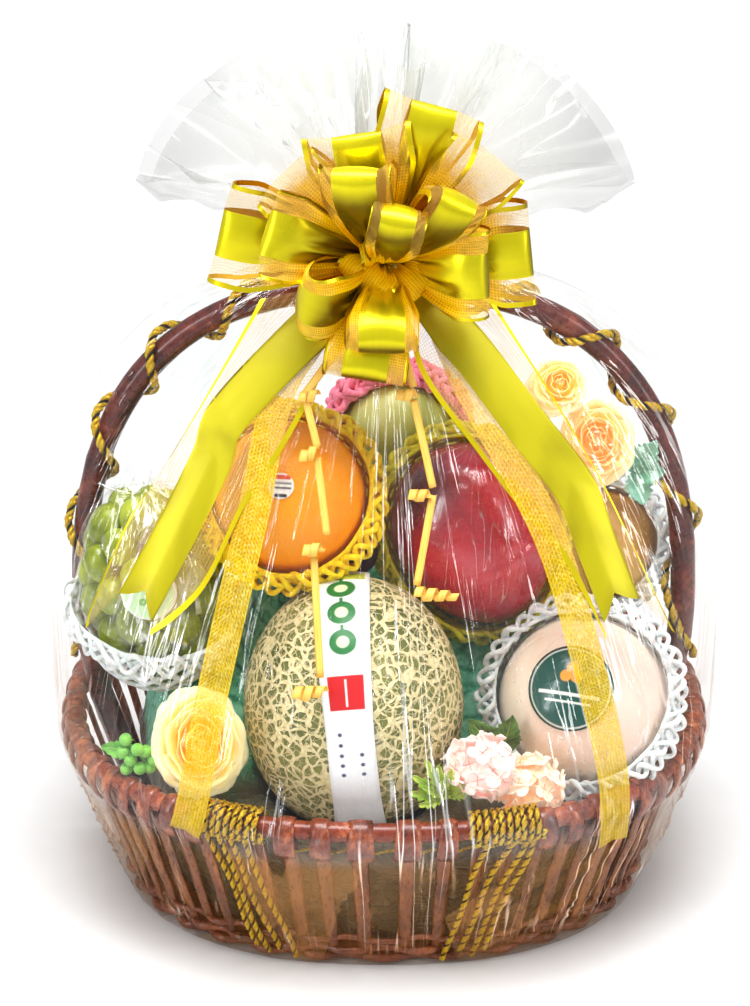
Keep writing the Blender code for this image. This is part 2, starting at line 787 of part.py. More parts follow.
def bow_loop(name, tip, across, width, gape, parts):
    """One loop of the pull bow, gathered at the knot and rounded at its tip."""
    tip = Vector(tip)
    along = tip.normalized()
    length = tip.length
    across = Vector(across)
    across = (across - along * across.dot(along)).normalized()
    out = along.cross(across)

    def where(u, v):
        swell = (1 - math.cos(2 * math.pi * v)) / 2
        reach = LOOP_START + (length - LOOP_START) * swell
        half = width / 2 * min(1.0, reach / length * 1.05)
        part = 0.0012 * math.cos(math.pi * v)
        bulge = gape / 2 * math.sin(2 * math.pi * v) * swell**0.35 * 1.1
        return KNOT + along * reach + out * (part + bulge) + across * (2 * u - 1) * half

    bm = sheet(1, 9, where)
    face_out(bm, KNOT + along * length * 0.6)
    thicken(finish(name, bm, satin(), parts), RIBBON_THICK, 0.0)


def smooth_path(stops, share):
    """A point on the smooth curve through the stops."""
    last = len(stops) - 1
    at = min(share * last, last - 1e-9)
    i = int(at)
    t = at - i
    p = [Vector(stops[min(max(i + k, 0), last)]) for k in (-1, 0, 1, 2)]
    a = (p[1] * 2) + (p[2] - p[0]) * t
    b = (p[0] * 2 - p[1] * 5 + p[2] * 4 - p[3]) * t * t
    c = (p[1] * 3 - p[0] - p[2] * 3 + p[3]) * t * t * t
    return (a + b + c) / 2


def ribbon(name, stops, width, notch, grid, mat, parts):
    """A flat ribbon on the film's front; a stop is width, height and distance off the film."""

    def centre(share):
        x, z, lift = smooth_path(stops, share)
        return film_front(x, z, lift)

    def where(u, v):
        side = 2 * u - 1
        ahead = centre(min(1.0, v + 0.01))
        behind = centre(max(0.0, v - 0.01))
        along = (ahead - behind).normalized()
        here = centre(v)
        x, z = here.x, here.z
        slope = film_front(x + 0.002, z) - film_front(x - 0.002, z)
        rise = film_front(x, z + 0.002) - film_front(x, z - 0.002)
        normal = slope.cross(rise).normalized()
        across = along.cross(normal).normalized()
        back = notch * (1 - abs(side)) if v > 0.999 else 0.0
        gather = min(1.0, 0.35 + v * 4)
        return here + across * side * width / 2 * gather - along * back

    bm = sheet(*grid, where)
    face_out(bm, Vector((0, 0.02, 0.2)))
    thicken(finish(name, bm, mat, parts), RIBBON_THICK, 1.0)


TAILS = {
    "tail_left": [(-0.017, 0.427, 0.008), (-0.052, 0.402, 0.004), (-0.098, 0.359, 0.0035),
                  (-0.109, 0.333, 0.0035), (-0.134, 0.287, 0.0035), (-0.157, 0.246, 0.0035)],
    "tail_right": [(0.017, 0.427, 0.008), (0.053, 0.396, 0.004), (0.089, 0.354, 0.0035),
                   (0.122, 0.318, 0.0035), (0.138, 0.285, 0.0035), (0.153, 0.246, 0.0035)],
}
BANDS = {
    "organza_left": [(-0.030, 0.414, 0.003), (-0.064, 0.377, 0.0015), (-0.083, 0.302, 0.0012),
                     (-0.107, 0.205, 0.0012), (-0.120, 0.140, 0.0015), (-0.127, 0.112, 0.002)],
    "organza_right": [(0.030, 0.412, 0.003), (0.060, 0.365, 0.0015), (0.103, 0.292, 0.0012),
                      (0.131, 0.205, 0.0015), (0.144, 0.150, 0.002), (0.1465, 0.118, 0.004), (0.147, 0.092, 0.003)],
}
CURLS = {
    "curl_left": [(-0.010, 0.420, 0.006), (-0.054, 0.366, 0.0065), (-0.042, 0.340, 0.003),
                  (-0.036, 0.303, 0.003), (-0.042, 0.280, 0.003), (-0.040, 0.212, 0.003)],
    "curl_right": [(0.004, 0.420, 0.006), (0.018, 0.372, 0.003), (0.029, 0.318, 0.003),
                   (0.018, 0.265, 0.003), (0.045, 0.262, 0.003)],
}


def make_bow(parts):
    ring = bmesh.new()
    bmesh.ops.create_circle(ring, segments=5, radius=TIE[1])
    turn = Matrix.Translation((TIE[0], 0, TIE_Z)) @ Matrix.Rotation(math.pi / 2, 4, "X")
    bmesh.ops.transform(ring, matrix=turn, verts=ring.verts)
    bmesh.ops.spin(
        ring, geom=ring.edges[:], cent=(0, 0, 0), axis=(0, 0, 1), angle=2 * math.pi,
        steps=12, use_merge=True,
    )
    bmesh.ops.recalc_face_normals(ring, faces=ring.faces)
    finish("neck_tie", ring, satin(), parts)
    knot = bmesh.new()
    bmesh.ops.create_uvsphere(knot, u_segments=10, v_segments=6, radius=1)
    move = Matrix.Translation(KNOT) @ Matrix.Diagonal((*KNOT_SIZE, 1))
    bmesh.ops.transform(knot, matrix=move, verts=knot.verts)
    finish("bow_knot", knot, satin(), parts)
    for i, (tip, across, width, gape) in enumerate(LOOPS):
        bow_loop(f"bow_loop_{i + 1:02d}", tip, across, width, gape, parts)
    for name, stops in TAILS.items():
        ribbon(name, stops, 0.030, 0.012, (2, 11), satin(), parts)
    for name, stops in BANDS.items():
        ribbon(name, stops, 0.019, 0.010, (2, 12), organza(), parts)
    for name, stops in CURLS.items():
        ribbon(name, stops, 0.005, 0.0, (1, 14), organza(), parts)


# ---------------------------------------------------------------- assembly


def main():
    for old in list(bpy.data.objects):
        bpy.data.objects.remove(old)
    parts = bpy.data.collections.new("fruit_gift_basket")
    bpy.context.scene.collection.children.link(parts)

    basket_base(parts)
    basket_wall(parts)
    basket_rim(parts)
    handle(parts)
    handle_cord(parts)
    lashing("lashing_left", math.radians(LASH_TURN["lashing_left"]), 1, parts)
    lashing("lashing_right", math.radians(LASH_TURN["lashing_right"]), -1, parts)

    fruit("melon", 18, 11, parts, 0.6)
    melon_band(parts)
    fruit("peach", 13, 8, parts)
    fruit("red_mango", 13, 8, parts)
    fruit("orange", 13, 8, parts)
    fruit("green_mango", 12, 7, parts)
    fruit("pear", 12, 9, parts)
    fruit("plum", 9, 6, parts)
    bunch(parts)
    round_label("peach_label", "peach", Vector((-0.24, -0.76, 0.60)), 0.028, 0.0020,
                (0.03, 0.15, 0.12), parts)
    round_label("grape_label", "grapes", Vector((0.04, -0.93, 0.30)), 0.018, 0.0035,
                (0.75, 0.90, 0.65), parts)
    round_label("orange_sticker", "orange", Vector((-0.09, -0.83, 0.55)), 0.0085, 0.0010,
                (0.85, 0.85, 0.85), parts, (8, 1))
    round_label("pear_sticker", "pear", Vector((-0.05, -0.90, 0.43)), 0.0080, 0.0010,
                (0.90, 0.90, 0.85), parts, (8, 1))
    white = (0.85, 0.86, 0.86)
    yellow = (0.85, 0.70, 0.03)
    net("peach_net", "peach", Vector((-0.15, -0.80, 0.62)), 112, 9, white, parts)
    net("pear_net", "pear", Vector((-0.35, -0.75, 0.35)), 98, 8, white, parts)
    net("orange_net", "orange", Vector((0.0, -0.85, 0.55)), 104, 9, yellow, parts)
    net("mango_net", "red_mango", Vector((0.15, -0.85, 0.30)), 92, 9, (0.55, 0.55, 0.05), parts, 5)
    net("pink_net", "green_mango", Vector((0.0, -0.95, -0.15)), 104, 7, (0.85, 0.30, 0.40), parts)
    net("grape_net", "grapes", Vector((0.10, -0.30, 0.95)), 72, 9, white, parts)

    head_colours = [(0.95, 0.75, 0.35), (0.95, 0.68, 0.35), (0.92, 0.82, 0.45),
                    (0.95, 0.55, 0.50), (0.95, 0.66, 0.48)]
    for (name, middle, radii), colour in zip(HEADS, head_colours):
        petals = 5 if name.startswith("rose") else 4
        bloom(name, middle, radii, colour, petals, 0.10, parts)
    berry_sprig(parts)
    mint = material("mint_leaf", (0.22, 0.55, 0.38), 0.6)
    spray("leaves_right", (0.163, -0.030, 0.300),
          [(0.012, -0.008, 0.022), (0.016, -0.010, 0.004), (0.006, -0.012, -0.016)],
          0.017, mint, parts)
    lime = material("lime_leaf", (0.35, 0.60, 0.10), 0.6)
    spray("leaf_sprig", (0.040, -0.152, 0.126),
          [(-0.014, -0.004, 0.030), (-0.022, -0.004, 0.006), (0.002, -0.005, 0.022)],
          0.010, lime, parts)
    dark = material("dark_leaf", (0.10, 0.28, 0.03), 0.5)
    spray("broad_leaves", (0.076, -0.121, 0.140),
          [(-0.022, -0.002, 0.026), (0.006, -0.001, 0.027)], 0.018, dark, parts)

    tissue_liner(parts)
    film_wrap(parts)
    make_bow(parts)


main()
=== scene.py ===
"""Fruit gift basket: the finish of every piece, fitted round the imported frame."""

import random
from math import atan2, copysign, cos, exp, pi, radians, sin, sqrt, tau

import bmesh
import bpy
from mathutils import Euler, Matrix, Vector, noise


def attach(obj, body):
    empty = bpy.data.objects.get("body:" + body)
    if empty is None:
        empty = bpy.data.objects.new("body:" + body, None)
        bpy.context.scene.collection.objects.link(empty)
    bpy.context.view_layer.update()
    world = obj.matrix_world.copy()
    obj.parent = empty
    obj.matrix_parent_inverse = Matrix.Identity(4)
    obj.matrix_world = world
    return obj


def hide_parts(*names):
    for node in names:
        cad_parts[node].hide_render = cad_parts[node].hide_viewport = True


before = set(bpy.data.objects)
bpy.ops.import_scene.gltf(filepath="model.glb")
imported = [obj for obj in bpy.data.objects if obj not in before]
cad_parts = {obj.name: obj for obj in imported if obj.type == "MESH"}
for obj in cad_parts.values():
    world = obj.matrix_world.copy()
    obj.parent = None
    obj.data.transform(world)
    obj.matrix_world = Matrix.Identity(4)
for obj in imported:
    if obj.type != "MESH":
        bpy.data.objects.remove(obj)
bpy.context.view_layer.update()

scene = bpy.context.scene

# ---------------------------------------------------------------- studio
# A pale floor under a large soft light from the upper left, as for a shop's catalogue.
# The camera looks down at the basket from the front.


def tone(red, green, blue):
    """A colour given as it shows on a screen, 0 to 255, made into scene light."""
    shown = [c / 255 for c in (red, green, blue)]
    return (*[c / 12.92 if c < 0.04045 else ((c + 0.055) / 1.055) ** 2.4 for c in shown], 1.0)


def add(tree, kind, inputs=None, **settings):
    """Adds a shader node; an input is a plain value or another node's output."""
    node = tree.nodes.new("ShaderNode" + kind)
    for key, value in settings.items():
        setattr(node, key, value)
    for key, value in (inputs or {}).items():
        if isinstance(value, bpy.types.NodeSocket):
            tree.links.new(value, node.inputs[key])
        else:
            node.inputs[key].default_value = value
    return node


def finish_of(name, **values):
    """A new material, its node tree and its shader with these plain values set."""
    made = bpy.data.materials.new(name)
    made.use_nodes = True
    shader = made.node_tree.nodes["Principled BSDF"]
    for key, value in values.items():
        shader.inputs[key.replace("_", " ")].default_value = value
    return made, made.node_tree, shader


def ramp(tree, fac, *stops):
    """Colours along a value; each stop is a place and a colour."""
    node = add(tree, "ValToRGB", {"Fac": fac})
    elements = node.color_ramp.elements
    while len(elements) < len(stops):
        elements.new(0.5)
    for element, (place, colour) in zip(elements, stops):
        element.position = place
        element.color = colour
    return node.outputs["Color"]


def spots(tree, vector, scale, detail=2.0, rough=0.5, distortion=0.0):
    node = add(tree, "TexNoise", {"Vector": vector, "Scale": scale, "Detail": detail,
                                  "Roughness": rough, "Distortion": distortion})
    return node.outputs["Fac"]


def fit(tree, value, low, high, to_low=0.0, to_high=1.0):
    node = add(tree, "MapRange", {"Value": value, "From Min": low, "From Max": high,
                                  "To Min": to_low, "To Max": to_high}, interpolation_type="SMOOTHSTEP")
    return node.outputs["Result"]


def sums(tree, kind, first, second=0.0):
    return add(tree, "Math", {0: first, 1: second}, operation=kind).outputs[0]


def times(tree, first, second):
    return sums(tree, "MULTIPLY", first, second)


def vectors(tree, kind, first, second=(0.0, 0.0, 0.0), give=0):
    return add(tree, "VectorMath", {0: first, 1: second}, operation=kind).outputs[give]


def own(tree, kind="Object"):
    """The surface's own coordinates: Object or Normal."""
    return add(tree, "TexCoord").outputs[kind]


def wear(tree, shader, **sources):
    """Links each of these sources to the node's input of that name."""
    for key, value in sources.items():
        tree.links.new(value, shader.inputs[key.replace("_", " ")])


def stretched(tree, vector, scale):
    return add(tree, "Mapping", {"Vector": vector, "Scale": scale}).outputs["Vector"]


def object_place(tree, stretch=(1.0, 1.0, 1.0)):
    """Object coordinates, stretched along the axes."""
    return stretched(tree, own(tree), stretch)


floor_paint, nodes, shader = finish_of("pale_floor", Roughness=0.6, Emission_Strength=1.0)
grit = spots(nodes, object_place(nodes), 40.0, 3.0)
wear(nodes, shader, Base_Color=ramp(nodes, grit, (0.3, tone(228, 228, 228)),
                                    (0.7, tone(230, 230, 230))))
away = vectors(nodes, "LENGTH", object_place(nodes), give="Value")
glow = times(nodes, fit(nodes, away, 0.3, 3.0, 0.01, 0.55),
             add(nodes, "LightPath").outputs["Is Camera Ray"])
wear(nodes, shader, Emission_Color=glow)
FLOOR_SIZE = 12
UNDER_BASKET = -0.0008
bm = bmesh.new()
bmesh.ops.create_grid(bm, x_segments=1, y_segments=1, size=FLOOR_SIZE)
bmesh.ops.translate(bm, verts=bm.verts, vec=(0, 0, UNDER_BASKET))
mesh = bpy.data.meshes.new("studio_floor")
bm.to_mesh(mesh)
bm.free()
mesh.materials.append(floor_paint)
studio_floor = bpy.data.objects.new("studio_floor", mesh)
scene.collection.objects.link(studio_floor)

air = bpy.data.worlds.new("studio_air")
scene.world = air
air.use_nodes = True
backdrop = air.node_tree.nodes["Background"]
backdrop.inputs["Color"].default_value = (1.0, 1.0, 1.0, 1.0)
seen = add(air.node_tree, "LightPath").outputs["Is Camera Ray"]
wear(air.node_tree, backdrop, Strength=fit(air.node_tree, seen, 0.0, 1.0, 0.42, 0.90))


def soft_light(name, place, aim, size, watts):
    data = bpy.data.lights.new(name, "AREA")
    data.shape = "RECTANGLE"
    data.size, data.size_y = size
    data.energy = watts
    lamp = bpy.data.objects.new(name, data)
    lamp.location = place
    lamp.rotation_euler = (Vector(aim) - Vector(place)).to_track_quat("-Z", "Y").to_euler()
    scene.collection.objects.link(lamp)


soft_light("overhead_softbox", (0.0, -0.35, 2.2), (0, 0, 0.2), (1.5, 1.1), 48)
soft_light("left_strip", (-1.5, -1.3, 1.1), (0, 0, 0.3), (0.25, 1.5), 13)
soft_light("right_strip", (1.6, -1.0, 1.0), (0, 0, 0.3), (0.25, 1.5), 10)

DISTANCE = 1.7
DOWNWARD = radians(25)
aim = Vector((-0.006, 0, 0.263))
lens = bpy.data.cameras.new("catalogue_camera")
lens.lens = 90.9
lens.sensor_width = 36
camera = bpy.data.objects.new("catalogue_camera", lens)
camera.location = aim + Vector((0, -cos(DOWNWARD), sin(DOWNWARD))) * DISTANCE
camera.rotation_euler = (aim - camera.location).to_track_quat("-Z", "Y").to_euler()
scene.collection.objects.link(camera)
scene.camera = camera
scene.view_settings.view_transform = "Standard"
scene.view_settings.look = "Medium High Contrast"
scene.cycles.transparent_max_bounces = 24

# ---------------------------------------------------------------- basket wall
# Sixty-four split withes, steamed and lacquered red-brown, stand round an oval foot.
# Three withes are woven through them at the foot, and each splint folds over the rim.

RIM = (0.213, 0.180)
RIM_Z = 0.118
FOOT = (0.176, 0.150)
OVAL = 2.3
SPLINTS = 64
SPLINT_FLAT = 0.0017


def plan(half, power, turn):
    """A point of an oval with these half sizes, at an angle."""
    c, s = cos(turn), sin(turn)
    return (half[0] * copysign(abs(c) ** (2 / power), c),
            half[1] * copysign(abs(s) ** (2 / power), s))


def between(a, b, share):
    return tuple(p + (q - p) * share for p, q in zip(a, b))


def on_wall(turn, z, out=0.0):
    """A point on the middle of the basket's wall, or so far outside it."""
    half = [h + out for h in between(FOOT, RIM, z / RIM_Z)]
    return Vector((*plan(half, OVAL, turn), z))


def new_body():
    bm = bmesh.new()
    bm.loops.layers.uv.new("UVMap")
    return bm


def lay_out(bm, place):
    """Sets the UV map to place(corner, the corner's UV so far)."""
    uv = bm.loops.layers.uv.active
    for face in bm.faces:
        for loop in face.loops:
            loop[uv].uv = place(loop, loop[uv].uv)


def grid(columns, rows, where, closed=False, size=None):
    """Quads whose points are where(u, v), with a UV map that size turns into metres."""
    bm = new_body()
    bmesh.ops.create_grid(bm, x_segments=columns, y_segments=rows, size=0.5, calc_uvs=True)
    for vert in bm.verts:
        u = round((vert.co.x + 0.5) * columns) / columns
        v = round((vert.co.y + 0.5) * rows) / rows
        vert.co = where(u, v)
    if size:
        lay_out(bm, lambda loop, old: (old[0] * size[0], old[1] * size[1]))
    if closed:
        bmesh.ops.remove_doubles(bm, verts=bm.verts, dist=1e-6)
    return bm


def outward(bm):
    bmesh.ops.recalc_face_normals(bm, faces=bm.faces)
    return bm


def capped(bm):
    """Closes the open ends of a tube."""
    bmesh.ops.holes_fill(bm, edges=[e for e in bm.edges if e.is_boundary], sides=0)
    return outward(bm)


def join(whole, part):
    """Adds a finished bmesh to a larger one."""
    held = bpy.data.meshes.new("held")
    part.to_mesh(held)
    part.free()
    whole.from_mesh(held)
    bpy.data.meshes.remove(held)


def show(name, bm, mats, finish_slot, *nodes):
    """Turns a bmesh into a piece that stands for these nodes and rides on the basket."""
    mesh = bpy.data.meshes.new(name)
    bm.to_mesh(mesh)
    bm.free()
    for mat in mats if isinstance(mats, (list, tuple)) else [mats]:
        mesh.materials.append(mat)
    mesh.shade_smooth()
    piece = bpy.data.objects.new(name, mesh)
    scene.collection.objects.link(piece)
    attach(piece, "root")
    if nodes:
        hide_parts(*nodes)
    return piece


def carried(points, closed=False):
    """Two directions square to a path at each of its points, carried along without a twist."""
    square = []
    side = None
    last = len(points) - 1
    for i in range(len(points)):
        if closed:
            along = points[(i + 1) % (last + 1)] - points[i - 1]
        else:
            along = points[min(i + 1, last)] - points[max(i - 1, 0)]
        along = along.normalized()
        side = along.orthogonal() if side is None else side
        side = (side - along * side.dot(along)).normalized()
        square.append((side, along.cross(side)))
    return square


def rod(points, radii, sides=8, closed=False, square=None):
    """A round rod along a path, with one radius or a radius for each point."""
    count = len(points)
    radii = radii if isinstance(radii, list) else [radii] * count
    square = square or carried(points, closed)
    rows = count if closed else count - 1
    long = sum((points[i + 1] - points[i]).length for i in range(count - 1))

    def where(u, v):
        at = round(v * rows) % count
        turn = tau * u
        a, b = square[at]
        return points[at] + (a * cos(turn) + b * sin(turn)) * radii[at]

    bm = grid(sides, rows, where, closed=True, size=(tau * radii[0], long))
    return outward(bm) if closed else capped(bm)


def new_group(name, given, made):
    """A node group with these sockets, each a name and a kind; its inputs and its output node."""
    group = bpy.data.node_groups.new(name, "ShaderNodeTree")
    for way, sockets in (("INPUT", given), ("OUTPUT", made)):
        for label, kind in sockets.items():
            group.interface.new_socket(name=label, in_out=way, socket_type="NodeSocket" + kind)
    return group, group.nodes.new("NodeGroupInput").outputs, group.nodes.new("NodeGroupOutput")


def plus(tree, first, second):
    return sums(tree, "ADD", first, second)


def blend(tree, share, first, second):
    node = add(tree, "Mix", data_type="RGBA")
    for socket, value in ((node.inputs[0], share), (node.inputs[6], first), (node.inputs[7], second)):
        if isinstance(value, bpy.types.NodeSocket):
            tree.links.new(value, socket)
        else:
            socket.default_value = value
    return node.outputs[2]


def relief(tree, shader, height, distance):
    """A bump of so many metres on the shader's normal."""
    bump = add(tree, "Bump", {"Height": height, "Distance": distance, "Strength": 1.0})
    wear(tree, shader, Normal=bump.outputs["Normal"])


def grain_group():
    """Streaks, dark knots and a fine grain, for every withe and pole."""
    group, given, end = new_group(
        "withe_grain", {"Vector": "Vector", "Dark": "Color", "Middle": "Color", "Light": "Color"},
        {"Color": "Color", "Height": "Float", "Gloss": "Float"})
    broad = spots(group, given["Vector"], 1.0, 3.0, 0.6, 0.4)
    fine = spots(group, given["Vector"], 5.0, 4.0, 0.7)
    mixed = plus(group, times(group, broad, 0.75), times(group, fine, 0.25))
    low = blend(group, fit(group, mixed, 0.34, 0.50), given["Dark"], given["Middle"])
    high = blend(group, fit(group, mixed, 0.50, 0.66), low, given["Light"])
    knots = add(group, "TexVoronoi", {"Vector": given["Vector"], "Scale": 0.9, "Randomness": 1.0})
    knot = fit(group, knots.outputs["Distance"], 0.05, 0.16, 0.75, 0.0)
    wear(group, end, Color=blend(group, knot, high, given["Dark"]), Height=mixed,
         Gloss=fit(group, fine, 0.3, 0.7, 0.22, 0.42))
    return group


withe_grain = grain_group()


def withe_lacquer(name, stretch, dark, middle, light):
    made, tree, shader = finish_of(name, Coat_Weight=0.35, Coat_Roughness=0.12)
    node = add(tree, "Group", node_tree=withe_grain)
    wear(tree, node, Vector=object_place(tree, stretch))
    for key, colour in (("Dark", dark), ("Middle", middle), ("Light", light)):
        node.inputs[key].default_value = colour
    wear(tree, shader, Base_Color=node.outputs["Color"], Roughness=node.outputs["Gloss"])
    relief(tree, shader, node.outputs["Height"], 0.0008)
    return made


splint_lacquer = withe_lacquer("splint_lacquer", (75, 75, 16), tone(74, 30, 12), tone(120, 62, 28),
                               tone(166, 100, 54))
foot_lacquer = withe_lacquer("foot_lacquer", (60, 60, 60), tone(70, 26, 12), tone(114, 52, 26),
                             tone(152, 84, 48))

chance = random.Random(7)
splints = new_body()
for i in range(SPLINTS):
    turn = tau * (i + 0.5) / SPLINTS
    slant = chance.uniform(-0.010, 0.010)
    wide = chance.uniform(0.0042, 0.0056)
    proud = chance.uniform(-0.0004, 0.0006)
    stations = []
    for k in range(8):
        z = 0.003 + (RIM_Z - 0.007) * k / 7
        stations.append(on_wall(turn + slant * (k / 7 - 0.5), z, proud + 0.0005 * sin(k * 1.9 + i)))
    square = []
    for k, here in enumerate(stations):
        side = on_wall(turn + 0.02, here.z) - on_wall(turn - 0.02, here.z)
        side.normalize()
        square.append((side, Vector((side.y, -side.x, 0.25)).normalized()))

    def where(u, v):
        k = round(v * 7)
        a, b = square[k]
        swing = tau * u
        taper = wide * (0.82 + 0.30 * v)
        return stations[k] + a * cos(swing) * taper + b * sin(swing) * SPLINT_FLAT

    join(splints, capped(grid(10, 7, where, closed=True)))
show("basket_splints", splints, splint_lacquer, "willow", "basket_wall")

foot = new_body()
for z, thick, phase in ((0.0050, 0.0030, 0.0), (0.0108, 0.0028, pi), (0.0205, 0.0021, 0.0)):
    ring = []
    for i in range(SPLINTS * 5):
        turn = tau * i / (SPLINTS * 5)
        ring.append(on_wall(turn, z, 0.0026 * cos(SPLINTS / 2 * turn + phase)))
    join(foot, rod(ring, thick, 8, closed=True))
show("basket_foot_weave", foot, foot_lacquer, "willow")

base_lacquer = withe_lacquer("base_lacquer", (30, 120, 60), tone(70, 28, 14), tone(110, 50, 28),
                             tone(140, 76, 46))
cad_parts["basket_base"].data.materials[0] = base_lacquer

# ---------------------------------------------------------------- basket rim
# One thick lacquered cane bent to an oval. Each splint is folded over it from outside
# and shaved where it laps, so the rim looks like cane with a collar every two centimetres.

rim_lacquer = withe_lacquer("rim_lacquer", (70, 70, 70), tone(86, 28, 14), tone(132, 54, 28),
                            tone(186, 104, 62))
collar_lacquer = withe_lacquer("collar_lacquer", (95, 95, 55), tone(80, 28, 14), tone(126, 56, 30),
                               tone(184, 108, 68))
UP = Vector((0, 0, 1))
CANE_STEPS = 256
cane = [Vector((*plan(RIM, OVAL, tau * i / CANE_STEPS), RIM_Z)) for i in range(CANE_STEPS)]
rim_square = []
for i in range(CANE_STEPS):
    along = (cane[(i + 1) % CANE_STEPS] - cane[i - 1]).normalized()
    rim_square.append((along.cross(UP).normalized(), UP))
swollen = [0.0064 + 0.0003 * sin(i * 0.71) for i in range(CANE_STEPS)]
show("rim_cane", rod(cane, swollen, 14, closed=True, square=rim_square), rim_lacquer, "willow",
     "basket_rim")


def thickened(bm, thickness):
    outward(bm)
    bmesh.ops.solidify(bm, geom=bm.faces[:], thickness=thickness)
    return bm


def rim_point(turn, out, up):
    """A point beside the middle of the rim cane."""
    x, y = plan(RIM, OVAL, turn)
    ahead = Vector((*plan(RIM, OVAL, turn + 0.01), 0)) - Vector((*plan(RIM, OVAL, turn - 0.01), 0))
    return Vector((x, y, RIM_Z + up)) + ahead.normalized().cross(UP) * out


LASHED = (radians(-114), radians(-72))
collars = new_body()
for i in range(SPLINTS):
    turn = tau * (i + 0.5) / SPLINTS
    if any(abs(turn - tau - a) < 0.10 for a in LASHED):
        continue
    skew = chance.uniform(-0.006, 0.006)
    half = chance.uniform(0.0052, 0.0066) / 0.2

    def where(u, v):
        around = radians(-70 + 320 * v)
        side = 2 * u - 1
        thick = 0.0082 + 0.0010 * cos(side * 1.35) - 0.0007 * max(0.0, v - 0.6)
        drop = 0.012 * (1 - v) ** 3
        here = rim_point(turn + side * half * (1 - 0.25 * v) + skew * (v - 0.5) * 2,
                         thick * cos(around), thick * sin(around))
        return here - UP * drop

    join(collars, outward(thickened(grid(4, 14, where), 0.0016)))
show("rim_collars", collars, collar_lacquer, "willow")

# ---------------------------------------------------------------- handle
# A cane pole steamed into a hoop, its ends pushed down inside the wall. It is sealed with
# the same lacquer, darker, and a twisted gold cord is wound round it from rim to rim.

HOOP_FOOT = (0.1635, 0.015)
HOOP_BEND = (0.19548, RIM_Z)
SPRING = 0.170
HOOP_SPRING = (0.2035, SPRING)
HOOP_TOP = 0.4165
ARCH = 2.6
POLE = 0.0085


def hoop(share):
    """The hoop's centre line from the left foot (0) to the right foot (1)."""
    side = -1 if share < 0.5 else 1
    rise = min(share, 1 - share) * 2
    if rise < 0.20:
        x, z = between(HOOP_FOOT, HOOP_BEND, rise / 0.20)
    elif rise < 0.30:
        x, z = between(HOOP_BEND, HOOP_SPRING, (rise - 0.20) / 0.10)
    else:
        turn = (rise - 0.30) / 0.70 * pi / 2
        x = HOOP_SPRING[0] * cos(turn) ** (2 / ARCH)
        z = SPRING + (HOOP_TOP - SPRING) * sin(turn) ** (2 / ARCH)
    return Vector((side * x, 0, z))


hoop_lacquer = withe_lacquer("hoop_lacquer", (45, 45, 45), tone(52, 18, 14), tone(94, 34, 26),
                             tone(142, 72, 54))
pole = [hoop(i / 90) for i in range(91)]
thickness = [POLE + 0.0003 * sin(i * 0.5) + (0.0004 if i % 17 == 5 else 0.0) for i in range(91)]
show("handle_pole", rod(pole, thickness, 16), hoop_lacquer, "willow", "handle")


def split(tree, vector):
    """The parts X, Y and Z of a vector or a colour."""
    return add(tree, "SeparateXYZ", {"Vector": vector}).outputs


def flat_place(tree):
    """The UV map, which is in metres on paper and ribbon."""
    return add(tree, "UVMap").outputs["UV"]


def cord_finish(name, bright, dull, dark):
    """Metallic gold thread over a dark core; the strand's own UV runs along it."""
    made, tree, shader = finish_of(name, Metallic=0.60, Specular_IOR_Level=0.6)
    parts = split(tree, flat_place(tree))
    lay = times(tree, plus(tree, parts["Y"], times(tree, parts["X"], 1.2)), 5200.0)
    thread = fit(tree, sums(tree, "SINE", lay), -0.9, 0.9)
    patch = spots(tree, object_place(tree), 160.0, 3.0)
    gold = blend(tree, fit(tree, patch, 0.35, 0.62), dull, bright)
    wear(tree, shader, Base_Color=blend(tree, thread, dark, gold),
         Roughness=fit(tree, patch, 0.3, 0.7, 0.24, 0.42))
    relief(tree, shader, thread, 0.0003)
    return made


gold_thread = cord_finish("gold_thread", tone(255, 232, 70), tone(246, 204, 34), tone(176, 124, 10))
dark_thread = cord_finish("dark_thread", tone(84, 66, 30), tone(46, 34, 18), tone(20, 15, 10))


def twisted(points, radius, pitch, strands=3, sides=6, dark=(2,)):
    """A cord of strands twisted round each other along a path."""
    whole = new_body()
    square = carried(points)
    lengths = [0.0]
    for a, b in zip(points, points[1:]):
        lengths.append(lengths[-1] + (b - a).length)
    for strand in range(strands):
        path = []
        for here, (a, b), far in zip(points, square, lengths):
            turn = tau * (far / pitch + strand / strands)
            path.append(here + (a * cos(turn) + b * sin(turn)) * radius * 0.46)
        part = rod(path, radius * (0.34 if strand in dark else 0.58), sides)
        for face in part.faces:
            face.material_index = 1 if strand in dark else 0
        join(whole, part)
    return whole


backward = Vector((0, 1, 0))
winding = []
turns = 10
steps = turns * 84
for i in range(steps + 1):
    share = 0.13 + 0.74 * i / steps
    along = (hoop(share + 0.004) - hoop(share - 0.004)).normalized()
    out = along.cross(backward)
    turn = tau * turns * i / steps
    winding.append(hoop(share) + (out * cos(turn) + backward * sin(turn)) * 0.0122)
show("handle_cord_twist", twisted(winding, 0.0031, 0.012), [gold_thread, dark_thread], "gold_cord",
     "handle_cord")

# ---------------------------------------------------------------- lashings on the rim
# Gold cord wound ten times round the rim on each side of the front. Its ends hang down
# outside the splints to the foot, and a thin gold thread runs below the rim between them.


